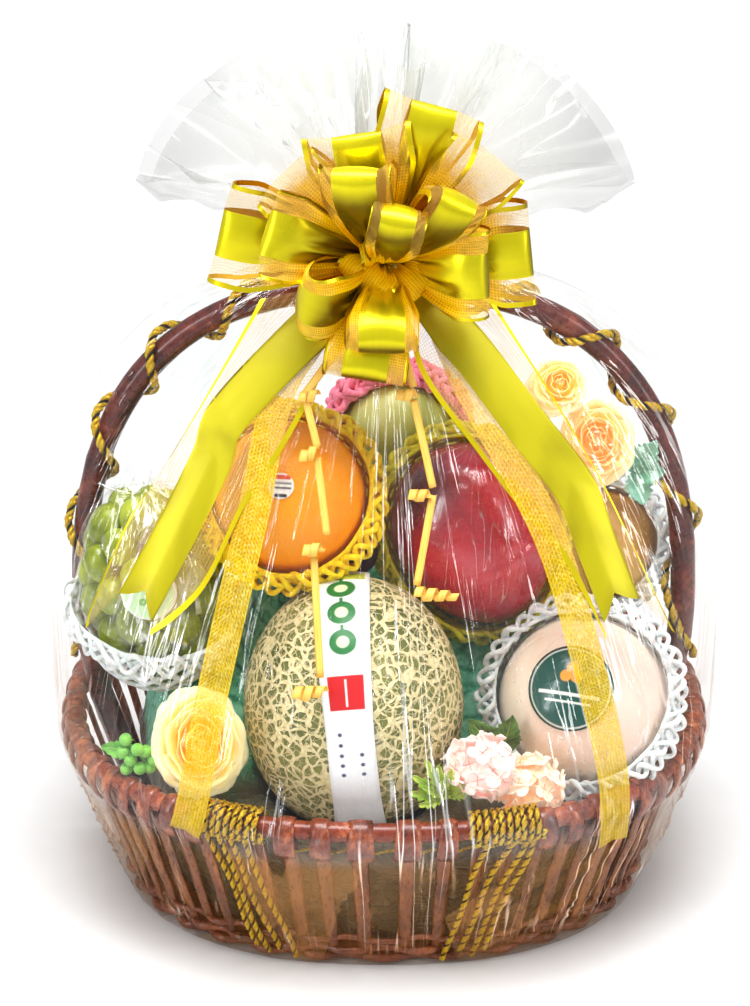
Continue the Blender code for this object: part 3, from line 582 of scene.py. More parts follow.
def lashing(name, node, middle, lean):
    whole = new_body()
    points = []
    loops = 10
    for i in range(loops * 20 + 1):
        share = i / (loops * 20)
        wind = tau * loops * share
        gap = 0.11 * (share - 0.5) * 2 + 0.0016 * sin(wind * 0.37 + 1.0)
        points.append(rim_point(middle + gap, 0.0104 * cos(wind), 0.0104 * sin(wind)))
    join(whole, twisted(points, 0.0023, 0.009))
    hanging = [(-0.085, 0.010, 0.012), (-0.050, 0.048, 0.006), (-0.010, 0.092, 0.010),
               (0.045, 0.150, 0.004)]
    for k, (top, foot, low) in enumerate(hanging):
        strand = []
        for i in range(61):
            share = i / 60
            z = 0.112 - (0.112 - low) * share
            swing = 0.016 * sin(share * 5.0 + k) * (1 - share)
            turn = middle + (top + (foot - top) * share) * lean + swing
            strand.append(on_wall(turn, z, 0.0058 + 0.0012 * sin(share * 9 + k)))
        join(whole, twisted(strand, 0.0021, 0.009))
    show(name, whole, [gold_thread, dark_thread], "gold_cord", node)


lashing("lashing_cords_left", "lashing_left", LASHED[0], 1)
lashing("lashing_cords_right", "lashing_right", LASHED[1], -1)
lace = []
for i in range(121):
    share = i / 120
    lace.append(on_wall(radians(-103 + 26 * share), 0.1005, 0.0022 * cos(share * tau * 4.6)))
show("rim_lace", twisted(lace, 0.0011, 0.005, 2, 5, dark=()), [gold_thread, dark_thread], "gold_cord")

# ---------------------------------------------------------------- tissue liner
# Sheets of mint tissue paper crumpled into the basket, so that the fruit sits above the
# rim. The paper is pressed to the shape of whatever lies on it.


def minus(tree, first, second):
    return sums(tree, "SUBTRACT", first, second)


tissue_paper, tree, shader = finish_of("mint_tissue", Roughness=0.62, Sheen_Weight=0.25)
paper_place = object_place(tree)
depth = spots(tree, paper_place, 30.0, 5.0, 0.6, 0.8)
for fold_scale, fold_share in ((34.0, 0.16), (58.0, 0.10), (97.0, 0.05)):
    across_fold = minus(tree, spots(tree, paper_place, fold_scale, 1.0, 0.5, 0.6), 0.5)
    fold = fit(tree, sums(tree, "ABSOLUTE", across_fold), 0.0, 0.09, -fold_share, fold_share)
    depth = plus(tree, depth, fold)
# The tissue's colour follows its crumple depth and is darker down in the folds and hollows: painted shade.
mint = ramp(tree, depth, (0.28, tone(46, 148, 112)), (0.52, tone(92, 192, 153)),
            (0.80, tone(150, 222, 190)))
# Below the rim the paper turns dark brown: painted shade where it lies inside the wall between the
# splints.
shade_below_rim = fit(tree, split(tree, paper_place)["Z"], 0.100, 0.114, 1.0, 0.0)
wear(tree, shader, Base_Color=blend(tree, shade_below_rim, mint, tone(104, 88, 58)))
relief(tree, shader, depth, 0.004)

bm = bmesh.new()
bm.from_mesh(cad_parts["tissue_liner"].data)
bmesh.ops.remove_doubles(bm, verts=bm.verts, dist=1e-6)
for longest in (0.008, 0.006):
    long_edges = [e for e in bm.edges if e.calc_length() > longest]
    bmesh.ops.subdivide_edges(bm, edges=long_edges, cuts=1, use_grid_fill=True)
    bmesh.ops.triangulate(bm, faces=bm.faces)
bm.normal_update()
for vert in bm.verts:
    crumple = noise.turbulence(vert.co * 60, 3, False, noise_basis="PERLIN_ORIGINAL")
    vert.co -= vert.normal * 0.0035 * min(1.0, crumple)
show("tissue_crumpled", bm, tissue_paper, "tissue", "tissue_liner")

# ---------------------------------------------------------------- melon
# A netted musk melon as tall as a hand is long. Cork-coloured ridges net its grey-green
# rind, and a printed paper band is pasted down its front.

MELON = ((-0.020, -0.088, 0.158), (0.072, 0.072, 0.088), (0, 0, 0))


def turned(angles):
    return Euler([radians(a) for a in angles]).to_matrix()


def skin(shape, direction, lift=0.0):
    """The point of a fruit's own oval that lies in a direction, moved out by lift."""
    middle, radii, angles = shape
    local = turned(angles).transposed() @ direction
    reach = 1 / sqrt(sum((c / r) ** 2 for c, r in zip(local, radii)))
    return Vector(middle) + direction * (reach + lift)


def fruit_body(shape, form, columns=96, rows=64):
    """A fruit's skin: an oval whose radius form(direction) changes by a share."""
    middle, radii, angles = shape
    bm = bmesh.new()
    bmesh.ops.create_uvsphere(bm, u_segments=columns, v_segments=rows, radius=1)
    for vert in bm.verts:
        vert.co *= form(vert.co.normalized())
    move = Matrix.Translation(middle) @ turned(angles).to_4x4() @ Matrix.Diagonal((*radii, 1))
    bmesh.ops.transform(bm, matrix=move, verts=bm.verts)
    return outward(bm)


rind, tree, shader = finish_of("melon_rind", Specular_IOR_Level=0.35)
rind_place = object_place(tree)
wander = add(tree, "TexNoise", {"Vector": rind_place, "Scale": 60.0, "Detail": 3.0})
bent = vectors(tree, "SUBTRACT", wander.outputs["Color"], (0.5, 0.5, 0.5))
bent = add(tree, "VectorMath", {0: bent, "Scale": 0.011}, operation="SCALE").outputs[0]
bent = vectors(tree, "ADD", rind_place, bent)
net_of = []
for cell_scale, low, high, height in ((128.0, 0.095, 0.15, 1.0), (205.0, 0.035, 0.085, 0.80)):
    cell = add(tree, "TexVoronoi", {"Vector": bent, "Scale": cell_scale}, feature="DISTANCE_TO_EDGE")
    net_of.append(fit(tree, cell.outputs["Distance"], low, high, height, 0.0))
net_mask = sums(tree, "MAXIMUM", *net_of)
patchy = spots(tree, rind_place, 22.0, 4.0)
cork = ramp(tree, spots(tree, rind_place, 420.0, 3.0), (0.3, tone(208, 192, 136)),
            (0.7, tone(240, 228, 186)))
green = ramp(tree, patchy, (0.35, tone(98, 106, 52)), (0.65, tone(148, 148, 88)))
wear(tree, shader, Base_Color=blend(tree, net_mask, green, cork),
     Roughness=fit(tree, net_mask, 0.0, 1.0, 0.42, 0.75))
relief(tree, shader, net_mask, 0.0016)


def melon_form(d):
    hollow = 0.06 * exp(-((1 - abs(d.z)) / 0.02))
    return 1 - hollow + 0.006 * noise.noise(d * 3.0)


show("melon_netted", fruit_body(MELON, melon_form, 120, 80), rind, "melon_rind", "melon")


def disc(tree, uv, centre, radius):
    """A mask that is 1 inside a circle of the UV map."""
    soft = 0.0006
    away = vectors(tree, "DISTANCE", uv, (*centre, 0.0), "Value")
    return fit(tree, away, radius - soft, radius + soft, 1.0, 0.0)


def oblong(tree, uv, centre, half):
    """A mask that is 1 inside an upright oblong of the UV map."""
    soft = 0.0005
    offset = vectors(tree, "SUBTRACT", uv, (*centre, 0.0))
    parts = split(tree, vectors(tree, "ABSOLUTE", offset))
    wide = fit(tree, parts["X"], half[0] - soft, half[0] + soft, 1.0, 0.0)
    tall = fit(tree, parts["Y"], half[1] - soft, half[1] + soft, 1.0, 0.0)
    return times(tree, wide, tall)


band_paper, tree, shader = finish_of("band_paper", Roughness=0.38)
uv = flat_place(tree)
print_on = ramp(tree, spots(tree, object_place(tree), 900.0, 2.0), (0.3, tone(236, 238, 240)),
                (0.7, tone(246, 247, 247)))
leaf_green, stamp_red, ink = tone(26, 120, 56), tone(206, 34, 40), tone(70, 78, 110)
print_on = blend(tree, oblong(tree, uv, (0.0155, 0.218), (0.0128, 0.0055)), print_on,
                 tone(186, 196, 70))
for height in (0.203, 0.184, 0.165):
    print_on = blend(tree, disc(tree, uv, (0.0155, height), 0.0078), print_on, leaf_green)
    print_on = blend(tree, disc(tree, uv, (0.0155, height), 0.0036), print_on, tone(214, 232, 190))
    print_on = blend(tree, oblong(tree, uv, (0.0155, height + 0.0085), (0.0010, 0.0022)), print_on,
                     leaf_green)
print_on = blend(tree, oblong(tree, uv, (0.0155, 0.134), (0.0108, 0.0108)), print_on, stamp_red)
print_on = blend(tree, oblong(tree, uv, (0.0155, 0.134), (0.0006, 0.0085)), print_on,
                 tone(240, 236, 232))
for k in range(5):
    print_on = blend(tree, disc(tree, uv, (0.0092, 0.107 - 0.0075 * k), 0.0014), print_on, ink)
    if k > 1:
        print_on = blend(tree, disc(tree, uv, (0.0220, 0.107 - 0.0075 * k), 0.0014), print_on, ink)
wear(tree, shader, Base_Color=print_on)
relief(tree, shader, spots(tree, object_place(tree), 120.0, 2.0), 0.0006)

BAND_HALF = 0.0155
PAPER = 0.0003


def melon_band(u, v):
    rise = radians(-62 + 170 * v)
    d = Vector(((2 * u - 1) * BAND_HALF / 0.075, -cos(rise), sin(rise)))
    curl = 0.0005 * sin(v * 23) * abs(2 * u - 1)
    return skin(MELON, (turned((0, -5, 0)) @ d).normalized(), 0.0029 + curl)


band = thickened(grid(10, 90, melon_band, size=(2 * BAND_HALF, 0.235)), PAPER)
show("melon_paper_band", band, band_paper, "paper", "melon_band")

# ---------------------------------------------------------------- peach in clear wrap
# A large white peach, pale with a faint blush, drawn up in thin clear wrap. Its seam
# dips at the stalk, and the wrap lies in fine folds that run up to the gather.

PEACH = ((0.132, -0.075, 0.154), (0.056, 0.055, 0.056), (0, 0, 0))


def skin_finish(name, stops, scale, blush=None, pores=(700.0, 0.00015), flecks=None, rough=(0.3, 0.45),
                **values):
    """Fruit skin: mottled colour, a blush on one side, fine pores and pale flecks."""
    made, tree, shader = finish_of(name, **values)
    place = object_place(tree)
    mottle = plus(tree, times(tree, spots(tree, place, scale, 4.0, 0.6, 0.5), 0.8),
                  times(tree, spots(tree, place, scale * 9, 2.0), 0.2))
    colour = ramp(tree, mottle, *stops)
    if blush:
        centre, reach, shade = blush
        away = vectors(tree, "DISTANCE", place, centre, "Value")
        away = plus(tree, away, times(tree, mottle, 0.02))
        colour = blend(tree, fit(tree, away, reach * 0.5, reach * 1.2, 1.0, 0.0), colour, shade)
    if flecks:
        dots = add(tree, "TexVoronoi", {"Vector": place, "Scale": flecks[0]}).outputs["Distance"]
        colour = blend(tree, fit(tree, dots, flecks[1] * 0.6, flecks[1], 0.7, 0.0), colour, flecks[2])
    wear(tree, shader, Base_Color=colour, Roughness=fit(tree, mottle, 0.35, 0.65, *rough))
    relief(tree, shader, spots(tree, place, pores[0], 2.0), pores[1])
    return made


peach_skin = skin_finish(
    "peach_skin", ((0.35, tone(246, 222, 196)), (0.65, tone(253, 240, 222))), 18.0,
    (Vector((0.150, -0.130, 0.190)), 0.075, tone(248, 214, 196)), rough=(0.5, 0.62), Sheen_Weight=0.3)


def peach_form(d):
    return 1 - 0.05 * exp(-((d.x / 0.15) ** 2)) * max(0.0, d.z) - 0.04 * exp(-((1 - d.z) / 0.02))


show("peach_fruit", fruit_body(PEACH, peach_form), peach_skin, "peach_skin", "peach")


def crease_group():
    """Long ridges that run together towards a point, as stretched clear film creases."""
    group, given, end = new_group(
        "film_creases", {"Vector": "Vector", "Fine": "Float", "Width": "Float"},
        {"Crease": "Float", "Haze": "Float", "Swell": "Float"})
    found = []
    for scale, gate_at in ((1.0, 0.46), (2.3, 0.52)):
        stretch = add(group, "VectorMath", {0: given["Vector"], "Scale": scale},
                      operation="SCALE").outputs[0]
        wave = spots(group, stretch, given["Fine"], 1.0)
        middle = sums(group, "ABSOLUTE", minus(group, wave, 0.5))
        line = fit(group, middle, 0.0, given["Width"], 1.0, 0.0)
        patch = stretched(group, stretch, (1.0, 1.0, 7.0))
        gate = fit(group, spots(group, patch, 3.4, 2.0), gate_at, gate_at + 0.16)
        found.append(times(group, line, gate))
    wear(group, end, Crease=sums(group, "MAXIMUM", found[0], times(group, found[1], 0.7)),
         Haze=fit(group, spots(group, given["Vector"], 3.0, 2.0), 0.40, 0.75),
         Swell=spots(group, given["Vector"], given["Fine"], 2.0, 0.45))
    return group


film_creases = crease_group()


def clear_finish(name, vector_of, fine, width, clear, crease_alpha, rough=0.08, haze_of=None,
                 depth=0.004, painted_glint=0.0, metal=1.0, seen_edge=0.30):
    """Clear film: a faint mirror where it is flat, and white where it is creased or seen edge on; the
    creases also glow white, a painted highlight.
    """
    made, tree, shader = finish_of(name, Base_Color=(1, 1, 1, 1), Roughness=rough, Metallic=metal,
                                   Emission_Strength=painted_glint)
    node = add(tree, "Group", node_tree=film_creases)
    wear(tree, node, Vector=vector_of(tree))
    node.inputs["Fine"].default_value = fine
    node.inputs["Width"].default_value = width
    edge = add(tree, "LayerWeight", {"Blend": 0.25}).outputs["Facing"]
    edge = fit(tree, edge, 0.50, 1.0, 0.0, seen_edge)
    haze = times(tree, node.outputs["Haze"], clear[1])
    if haze_of:
        haze = plus(tree, haze, haze_of(tree))
    alpha = plus(tree, plus(tree, haze, clear[0]), edge)
    tall = split(tree, own(tree))["Z"]
    crease = times(tree, node.outputs["Crease"], fit(tree, tall, 0.008, 0.030))
    alpha = plus(tree, alpha, times(tree, crease, crease_alpha))
    # The crease mask is also the emission colour, so each crease glows white: a painted highlight.
    wear(tree, shader, Alpha=sums(tree, "MINIMUM", alpha, 0.92), Emission_Color=crease)
    folded = plus(tree, node.outputs["Swell"], times(tree, crease, 0.12))
    relief(tree, shader, folded, depth)
    return made


def around_axis(middle, rise):
    """Coordinates that run round an upright axis and barely change along it."""

    def build(tree):
        here = vectors(tree, "SUBTRACT", own(tree), middle)
        level = vectors(tree, "MULTIPLY", here, (1.0, 1.0, 0.0))
        level = vectors(tree, "NORMALIZE", level)
        tall = vectors(tree, "MULTIPLY", here, (0.0, 0.0, rise))
        return vectors(tree, "ADD", level, tall)

    return build


peach_wrap = clear_finish("peach_clear_wrap", around_axis(PEACH[0], 3.0), 5.0, 0.03, (0.05, 0.06), 0.40,
                          depth=0.0016, metal=0.0, seen_edge=0.20)


def gathered_form(d):
    folds = sin(atan2(d.y, d.x) * 22 + 3 * d.z) * abs(d.z)
    return peach_form(d) * (1.028 + 0.010 * folds)


show("peach_wrap", fruit_body(PEACH, gathered_form, 140, 48), peach_wrap, "film")

# ---------------------------------------------------------------- smooth fruit
# A red mango with a purple shoulder, an orange, a small green mango, a russet pear and
# a plum, each whole, wiped and laid with its best side to the front.

RED_MANGO = ((0.060, -0.012, 0.246), (0.053, 0.051, 0.064), (0, -25, 0))
ORANGE = ((-0.061, -0.045, 0.288), (0.049, 0.046, 0.050), (0, -8, 0))
GREEN_MANGO = ((0.010, 0.062, 0.294), (0.038, 0.038, 0.036), (0, 0, 0))
PEAR = ((0.150, 0.030, 0.220), (0.038, 0.038, 0.037), (0, 0, 0))
PLUM = ((-0.017, -0.025, 0.238), (0.013, 0.013, 0.014), (0, 0, 0))

red_skin = skin_finish(
    "mango_red_skin", ((0.3, tone(150, 6, 26)), (0.5, tone(196, 14, 44)), (0.7, tone(222, 36, 60))),
    14.0, (Vector((0.012, -0.045, 0.300)), 0.052, tone(92, 42, 56)),
    flecks=(420.0, 0.20, tone(206, 96, 84)), rough=(0.22, 0.36), Coat_Weight=0.3, Coat_Roughness=0.1)
orange_peel = skin_finish(
    "orange_peel", ((0.3, tone(255, 146, 4)), (0.5, tone(255, 160, 10)), (0.7, tone(255, 178, 24))),
    12.0, (Vector((-0.098, -0.080, 0.310)), 0.055, tone(255, 178, 24)), pores=(620.0, 0.0005),
    rough=(0.3, 0.42))
green_skin = skin_finish(
    "mango_green_skin", ((0.3, tone(160, 168, 56)), (0.5, tone(188, 194, 84)), (0.7, tone(212, 214, 118))),
    20.0, (Vector((-0.005, 0.030, 0.320)), 0.04, tone(222, 224, 140)), rough=(0.28, 0.4), Coat_Weight=0.2)
russet = skin_finish(
    "pear_russet", ((0.3, tone(158, 108, 40)), (0.5, tone(182, 132, 54)), (0.7, tone(204, 158, 84))),
    26.0, flecks=(460.0, 0.24, tone(222, 186, 120)), rough=(0.38, 0.52))
plum_bloom = skin_finish(
    "plum_bloom", ((0.3, tone(44, 14, 34)), (0.5, tone(66, 24, 50)), (0.7, tone(104, 62, 92))),
    60.0, rough=(0.3, 0.6))


def mango_form(d):
    return 1 - 0.05 * max(0.0, -d.z) * abs(d.x) + 0.008 * noise.noise(d * 2.0)


def orange_form(d):
    return 1 - 0.035 * exp(-((1 - abs(d.z)) / 0.012)) + 0.005 * noise.noise(d * 3.0)


def pear_form(d):
    return 1 - 0.16 * exp(-((1 - d.z) / 0.05)) - 0.10 * exp(-((1 + d.z) / 0.05))


show("mango_red_fruit", fruit_body(RED_MANGO, mango_form), red_skin, "mango_red", "red_mango")
show("orange_fruit", fruit_body(ORANGE, orange_form), orange_peel, "orange_skin", "orange")
show("mango_green_fruit", fruit_body(GREEN_MANGO, mango_form), green_skin, "mango_green", "green_mango")
show("pear_fruit", fruit_body(PEAR, pear_form), russet, "pear_skin", "pear")
show("plum_fruit", fruit_body(PLUM, orange_form, 32, 20), plum_bloom, "plum_skin", "plum")

mango_wrap = clear_finish("mango_clear_wrap", around_axis(RED_MANGO[0], 2.0), 6.0, 0.02, (0.03, 0.03),
                          0.45, depth=0.0014)


def seam_form(d):
    """The wrap's welded seam crosses the front a little below the middle."""
    at = d.z + 0.10 + 0.03 * sin(d.x * 4)
    folds = 0.004 * sin(at * 60) * exp(-(at / 0.12) ** 2)
    return mango_form(d) * (1.022 + 0.030 * exp(-(at / 0.022) ** 2) + folds)


show("mango_wrap", fruit_body(RED_MANGO, seam_form, 128, 160), mango_wrap, "film")

# ---------------------------------------------------------------- foam nets
# Sleeves of extruded foam strands, joined where they cross, are pulled up round each
# fruit. The cut edge springs out in ripples.


def foam(name, light, dark):
    made, tree, shader = finish_of(name, Roughness=0.7, Subsurface_Weight=0.15, Subsurface_Scale=0.004)
    place = object_place(tree)
    shade = spots(tree, place, 260.0, 3.0)
    wear(tree, shader, Base_Color=ramp(tree, shade, (0.3, dark), (0.62, light)))
    relief(tree, shader, spots(tree, place, 1500.0, 2.0), 0.0004)
    return made


white_foam = foam("white_foam", tone(240, 243, 243), tone(212, 219, 220))
yellow_foam = foam("yellow_foam", tone(254, 226, 20), tone(244, 196, 4))
lime_foam = foam("lime_foam", tone(244, 236, 44), tone(222, 212, 20))
pink_foam = foam("pink_foam", tone(252, 156, 180), tone(240, 116, 148))


def foam_net(name, node, shape, axis, reach, cells, rows, strand, ruffle, mat, finish_slot, hems=3):
    axis = Vector(axis).normalized()
    first = axis.cross(UP).normalized()
    second = first.cross(axis).normalized()
    gap = 0.078 * max(shape[1]) + 0.0012

    def cup(turn, polar, lift):
        swing = first * cos(turn) + second * sin(turn)
        return skin(shape, -axis * cos(polar) + swing * sin(polar), lift)

    def where(u, v):
        turn = tau * u
        edge = v ** 5
        polar = radians(reach + 3.0 * sin(cells / 2 * turn + 0.6) * edge) * v
        return cup(turn, polar, gap + ruffle * 0.5 * edge * sin(cells * turn + 0.4 * sin(3 * turn)))

    bm = grid(cells, rows, where, closed=True)
    old = bm.edges[:]
    bmesh.ops.poke(bm, faces=bm.faces[:])
    inner = [e for e in old if e.is_valid and not e.is_boundary]
    bmesh.ops.dissolve_edges(bm, edges=inner, use_verts=False)
    bmesh.ops.wireframe(outward(bm), faces=bm.faces[:], thickness=strand, offset=0.5, use_replace=True,
                        use_boundary=True, use_even_offset=False, use_relative_offset=False)
    whole = outward(bm)
    waves = cells * 3 // 4
    for k in range(hems):
        hem = []
        for i in range(waves * 12):
            turn = tau * i / (waves * 12)
            beat = waves * turn + k * 2.3 + 0.7 * sin(3 * turn + k)
            polar = radians(reach - 1.0 - 3.6 * k + 4.8 * sin(beat))
            lift = ruffle * (0.75 + 0.55 * cos(beat + 1.2 * k) + 0.20 * sin(5 * turn + k))
            hem.append(cup(turn, polar, gap + max(0.0, lift)))
        radii = [strand * (0.50 + 0.08 * sin(i * 0.9)) for i in range(len(hem))]
        join(whole, rod(hem, radii, 7, closed=True))
    piece = show(name, whole, mat, finish_slot, node)
    round_off = piece.modifiers.new("Round", "SUBSURF")
    round_off.levels = round_off.render_levels = 1


foam_net("net_round_peach", "peach_net", PEACH, (-0.15, -0.80, 0.62), 112, 26, 9, 0.0040, 0.0066,
         white_foam, "net_white")
foam_net("net_round_pear", "pear_net", PEAR, (-0.35, -0.75, 0.35), 98, 22, 7, 0.0040, 0.0064,
         white_foam, "net_white")
foam_net("net_round_orange", "orange_net", ORANGE, (0, -0.85, 0.55), 104, 24, 9, 0.0044, 0.0068,
         yellow_foam, "net_yellow", 4)
foam_net("net_round_mango", "mango_net", RED_MANGO, (0.15, -0.85, 0.30), 92, 24, 9, 0.0044, 0.0060,
         lime_foam, "net_lime", 4)
foam_net("net_round_green_mango", "pink_net", GREEN_MANGO, (0, -0.95, -0.15), 104, 22, 7, 0.0054,
         0.0060, pink_foam, "net_pink", 8)

# ---------------------------------------------------------------- grapes in a clear bag
# A bunch of large oval green grapes on its stalk, in a thin clear bag twisted shut at
# the top, with a foam net under it.

GRAPES = ((-0.152, -0.053, 0.230), (0.049, 0.043, 0.069), (0, -6, 0))

berry_skin, tree, shader = finish_of(
    "grape_skin", Subsurface_Weight=0.35, Subsurface_Scale=0.006, Subsurface_Radius=(0.8, 1.0, 0.25),
    Specular_IOR_Level=0.6, Coat_Weight=0.2, Coat_Roughness=0.08)
place = object_place(tree)
veins = spots(tree, object_place(tree, (1, 1, 0.3)), 260.0, 3.0)
body = spots(tree, place, 34.0, 3.0, 0.6)
green = ramp(tree, plus(tree, times(tree, body, 0.75), times(tree, veins, 0.25)),
             (0.32, tone(102, 114, 2)), (0.5, tone(144, 158, 6)), (0.68, tone(190, 200, 38)))
wear(tree, shader, Base_Color=green, Roughness=fit(tree, body, 0.3, 0.7, 0.16, 0.34))
relief(tree, shader, veins, 0.0002)

bunch = new_body()
middle, radii, angles = GRAPES
GOLDEN = pi * (3 - sqrt(5))


def golden_way(i, count):
    """The i-th of so many directions spread evenly over a ball."""
    z = 1 - 2 * (i + 0.5) / count
    ring = sqrt(1 - z * z)
    return Vector((ring * cos(GOLDEN * i), ring * sin(GOLDEN * i), z))


def inside(direction, radii, inset=0.0):
    """A direction stretched to an oval's radii, less an inset."""
    return Vector([c * (r - inset) for c, r in zip(direction, radii)])


for count, inset, berry in ((46, 0.0125, 0.0122), (16, 0.034, 0.0115)):
    for i in range(count):
        at = inside(golden_way(i, count), radii, inset)
        wobble = Vector([chance.uniform(-0.0018, 0.0018) for _ in range(3)])
        size = berry * chance.uniform(0.92, 1.06)
        one = new_body()
        bmesh.ops.create_uvsphere(one, u_segments=16, v_segments=12, radius=1)
        for vert in one.verts:
            if vert.co.z > 0.98:
                vert.co.z -= 0.10
        lean = Euler((chance.uniform(-0.5, 0.5), chance.uniform(-0.5, 0.5), chance.uniform(0, 6.28)))
        place_at = Matrix.Translation(Vector(middle) + turned(angles) @ at + wobble)
        move = place_at @ lean.to_matrix().to_4x4() @ Matrix.Diagonal((size, size, size * 1.22, 1))
        bmesh.ops.transform(one, matrix=move, verts=one.verts)
        join(bunch, one)
show("grape_bunch", bunch, berry_skin, "grape_skin", "grapes")
foam_net("net_under_grapes", "grape_net", GRAPES, (0.10, -0.30, 0.95), 72, 20, 5, 0.0042, 0.0044,
         white_foam, "net_white")

bag_film = clear_finish("grape_bag_film", around_axis(GRAPES[0], 5.0), 4.0, 0.03, (0.07, 0.10), 0.5,
                        depth=0.0020)


def bag_form(d):
    crumple = noise.turbulence(d * 3.2, 3, True)
    fold = 0.018 * sin(atan2(d.y, d.x) * 9 + 4 * d.z) * max(0.0, d.z)
    return 1.055 + fold - 0.035 * crumple


show("grape_bag", fruit_body(GRAPES, bag_form, 96, 56), bag_film, "film")


def bag_top(u, v):
    turn = tau * u
    neck = 0.006 + 0.020 * v ** 0.8 * (1 + 0.25 * sin(5 * turn))
    lift = 0.010 * v * (1 + 0.3 * cos(3 * turn + 1))
    return Vector((-0.158 + neck * cos(turn), -0.060 + 0.6 * neck * sin(turn),
                   0.296 + lift + 0.002 * sin(11 * turn) * v))


show("grape_bag_twist", grid(66, 10, bag_top, closed=True), bag_film, "film")

# ---------------------------------------------------------------- stickers and labels
# Round glossy paper labels stuck on the fruit and on the bag, with plain coloured shapes.


def round_sticker(name, node, shape, axis, radius, lift, mat, finish_slot):
    axis = Vector(axis).normalized()
    right = axis.cross(UP).normalized()
    right = right if right.x > 0 else -right
    up = right.cross(axis) if right.cross(axis).z > 0 else axis.cross(right)
    reach = radius / shape[1][0]

    def where(u, v):
        turn, polar = tau * u, reach * v
        d = axis * cos(polar) + (right * cos(turn) + up * sin(turn)) * sin(polar)
        return skin(shape, d, lift)

    bm = grid(48, 8, where, closed=True)
    centre = skin(shape, axis, lift)
    lay_out(bm, lambda loop, old: ((loop.vert.co - centre).dot(right), (loop.vert.co - centre).dot(up)))
    show(name, thickened(bm, PAPER), mat, finish_slot, node)


def label_finish(name, ground, marks):
    """Glossy printed paper; each mark is a shape, a place, a size and a colour."""
    made, tree, shader = finish_of(name, Roughness=0.25, Coat_Weight=0.4)
    uv = flat_place(tree)
    shown = ramp(tree, spots(tree, object_place(tree), 500.0, 2.0), (0.3, ground),
                 (0.7, tuple(min(1.0, c * 1.12) for c in ground)))
    for kind, place, size, colour in marks:
        if kind == "ring":
            mask = minus(tree, disc(tree, uv, place, size[0]), disc(tree, uv, place, size[1]))
        elif kind == "disc":
            mask = disc(tree, uv, place, size)
        else:
            mask = oblong(tree, uv, place, size)
        shown = blend(tree, mask, shown, colour)
    wear(tree, shader, Base_Color=shown)
    relief(tree, shader, spots(tree, object_place(tree), 200.0, 2.0), 0.0004)
    return made


amber, paper_white = tone(250, 170, 60), tone(236, 240, 236)
dark_label = label_finish("dark_green_label", tone(22, 84, 74), [
    ("ring", (0, 0), (0.0262, 0.0253), paper_white),
    ("disc", (-0.0035, 0.0072), 0.0038, amber), ("disc", (0.0035, 0.0072), 0.0038, amber),
    ("disc", (0.0, 0.0128), 0.0038, amber),
    ("bar", (0, -0.0045), (0.0200, 0.0011), paper_white),
    ("bar", (0, -0.0095), (0.0150, 0.0007), paper_white)])
pale_label = label_finish("pale_green_label", tone(206, 236, 190), [
    ("ring", (0, 0), (0.0185, 0.0160), tone(244, 246, 240)),
    ("bar", (0, 0.0045), (0.0085, 0.0020), tone(150, 205, 130)),
    ("disc", (-0.004, -0.005), 0.0026, tone(146, 200, 110)),
    ("disc", (0.002, -0.006), 0.0026, tone(170, 214, 120))])
small_label = label_finish("striped_sticker", tone(236, 232, 226), [
    ("bar", (0, 0.0057), (0.0060, 0.0014), tone(226, 96, 60)),
    ("bar", (0, 0.0018), (0.0066, 0.0007), tone(150, 150, 150)),
    ("bar", (0, -0.0012), (0.0066, 0.0007), tone(110, 110, 112)),
    ("bar", (0, -0.0060), (0.0040, 0.0010), tone(60, 60, 62))])
pastel_label = label_finish("pastel_sticker", tone(248, 244, 236), [
    ("bar", (-0.0018, 0.0022), (0.0026, 0.0020), tone(244, 178, 170)),
    ("bar", (0.0024, 0.0008), (0.0022, 0.0020), tone(250, 220, 120)),
    ("bar", (0.0002, -0.0034), (0.0036, 0.0018), tone(150, 200, 226))])
round_sticker("peach_round_label", "peach_label", PEACH, (-0.24, -0.76, 0.60), 0.028, 0.0023,
              dark_label, "label_dark")
round_sticker("grape_round_label", "grape_label", GRAPES, (0.04, -0.93, 0.30), 0.018, 0.0048,
              pale_label, "label_pale")
round_sticker("orange_round_sticker", "orange_sticker", ORANGE, (-0.09, -0.83, 0.55), 0.0085, 0.0010,
              small_label, "paper")
round_sticker("pear_round_sticker", "pear_sticker", PEAR, (-0.05, -0.90, 0.43), 0.0080, 0.0010,
              pastel_label, "paper")

# ---------------------------------------------------------------- silk roses
# Three cabbage roses of wired silk. Each petal is cut, cupped over a hot ball and glued
# round the heart, cream outside and apricot within.


def petal_finish(name, heart, middle_tone, rim, vein):
    """Silk dyed from the heart outwards, with a faint glow in its own colour that is painted light; the UV
    map holds the petal's layer and height.
    """
    made, tree, shader = finish_of(name, Roughness=0.62, Sheen_Weight=0.25, Subsurface_Weight=0.12,
                                   Subsurface_Scale=0.003, Emission_Strength=0.16)
    parts = split(tree, flat_place(tree))
    mottle = spots(tree, object_place(tree), 90.0, 3.0)
    layer = plus(tree, parts["X"], times(tree, minus(tree, mottle, 0.5), 0.35))
    colour = ramp(tree, layer, (0.10, heart), (0.42, middle_tone), (0.85, rim))
    edge = fit(tree, parts["Y"], 0.72, 1.0, 0.0, 0.55)
    colour = blend(tree, edge, colour, rim)
    threads = spots(tree, object_place(tree, (1, 1, 0.25)), 900.0, 2.0)
    colour = blend(tree, fit(tree, threads, 0.55, 0.75, 0.0, 0.35), colour, vein)
    # Emission in the petal's own colour makes the silk glow: painted light that fills the shade between
    # petals.
    wear(tree, shader, Base_Color=colour, Emission_Color=colour)
    relief(tree, shader, threads, 0.0003)
    return made


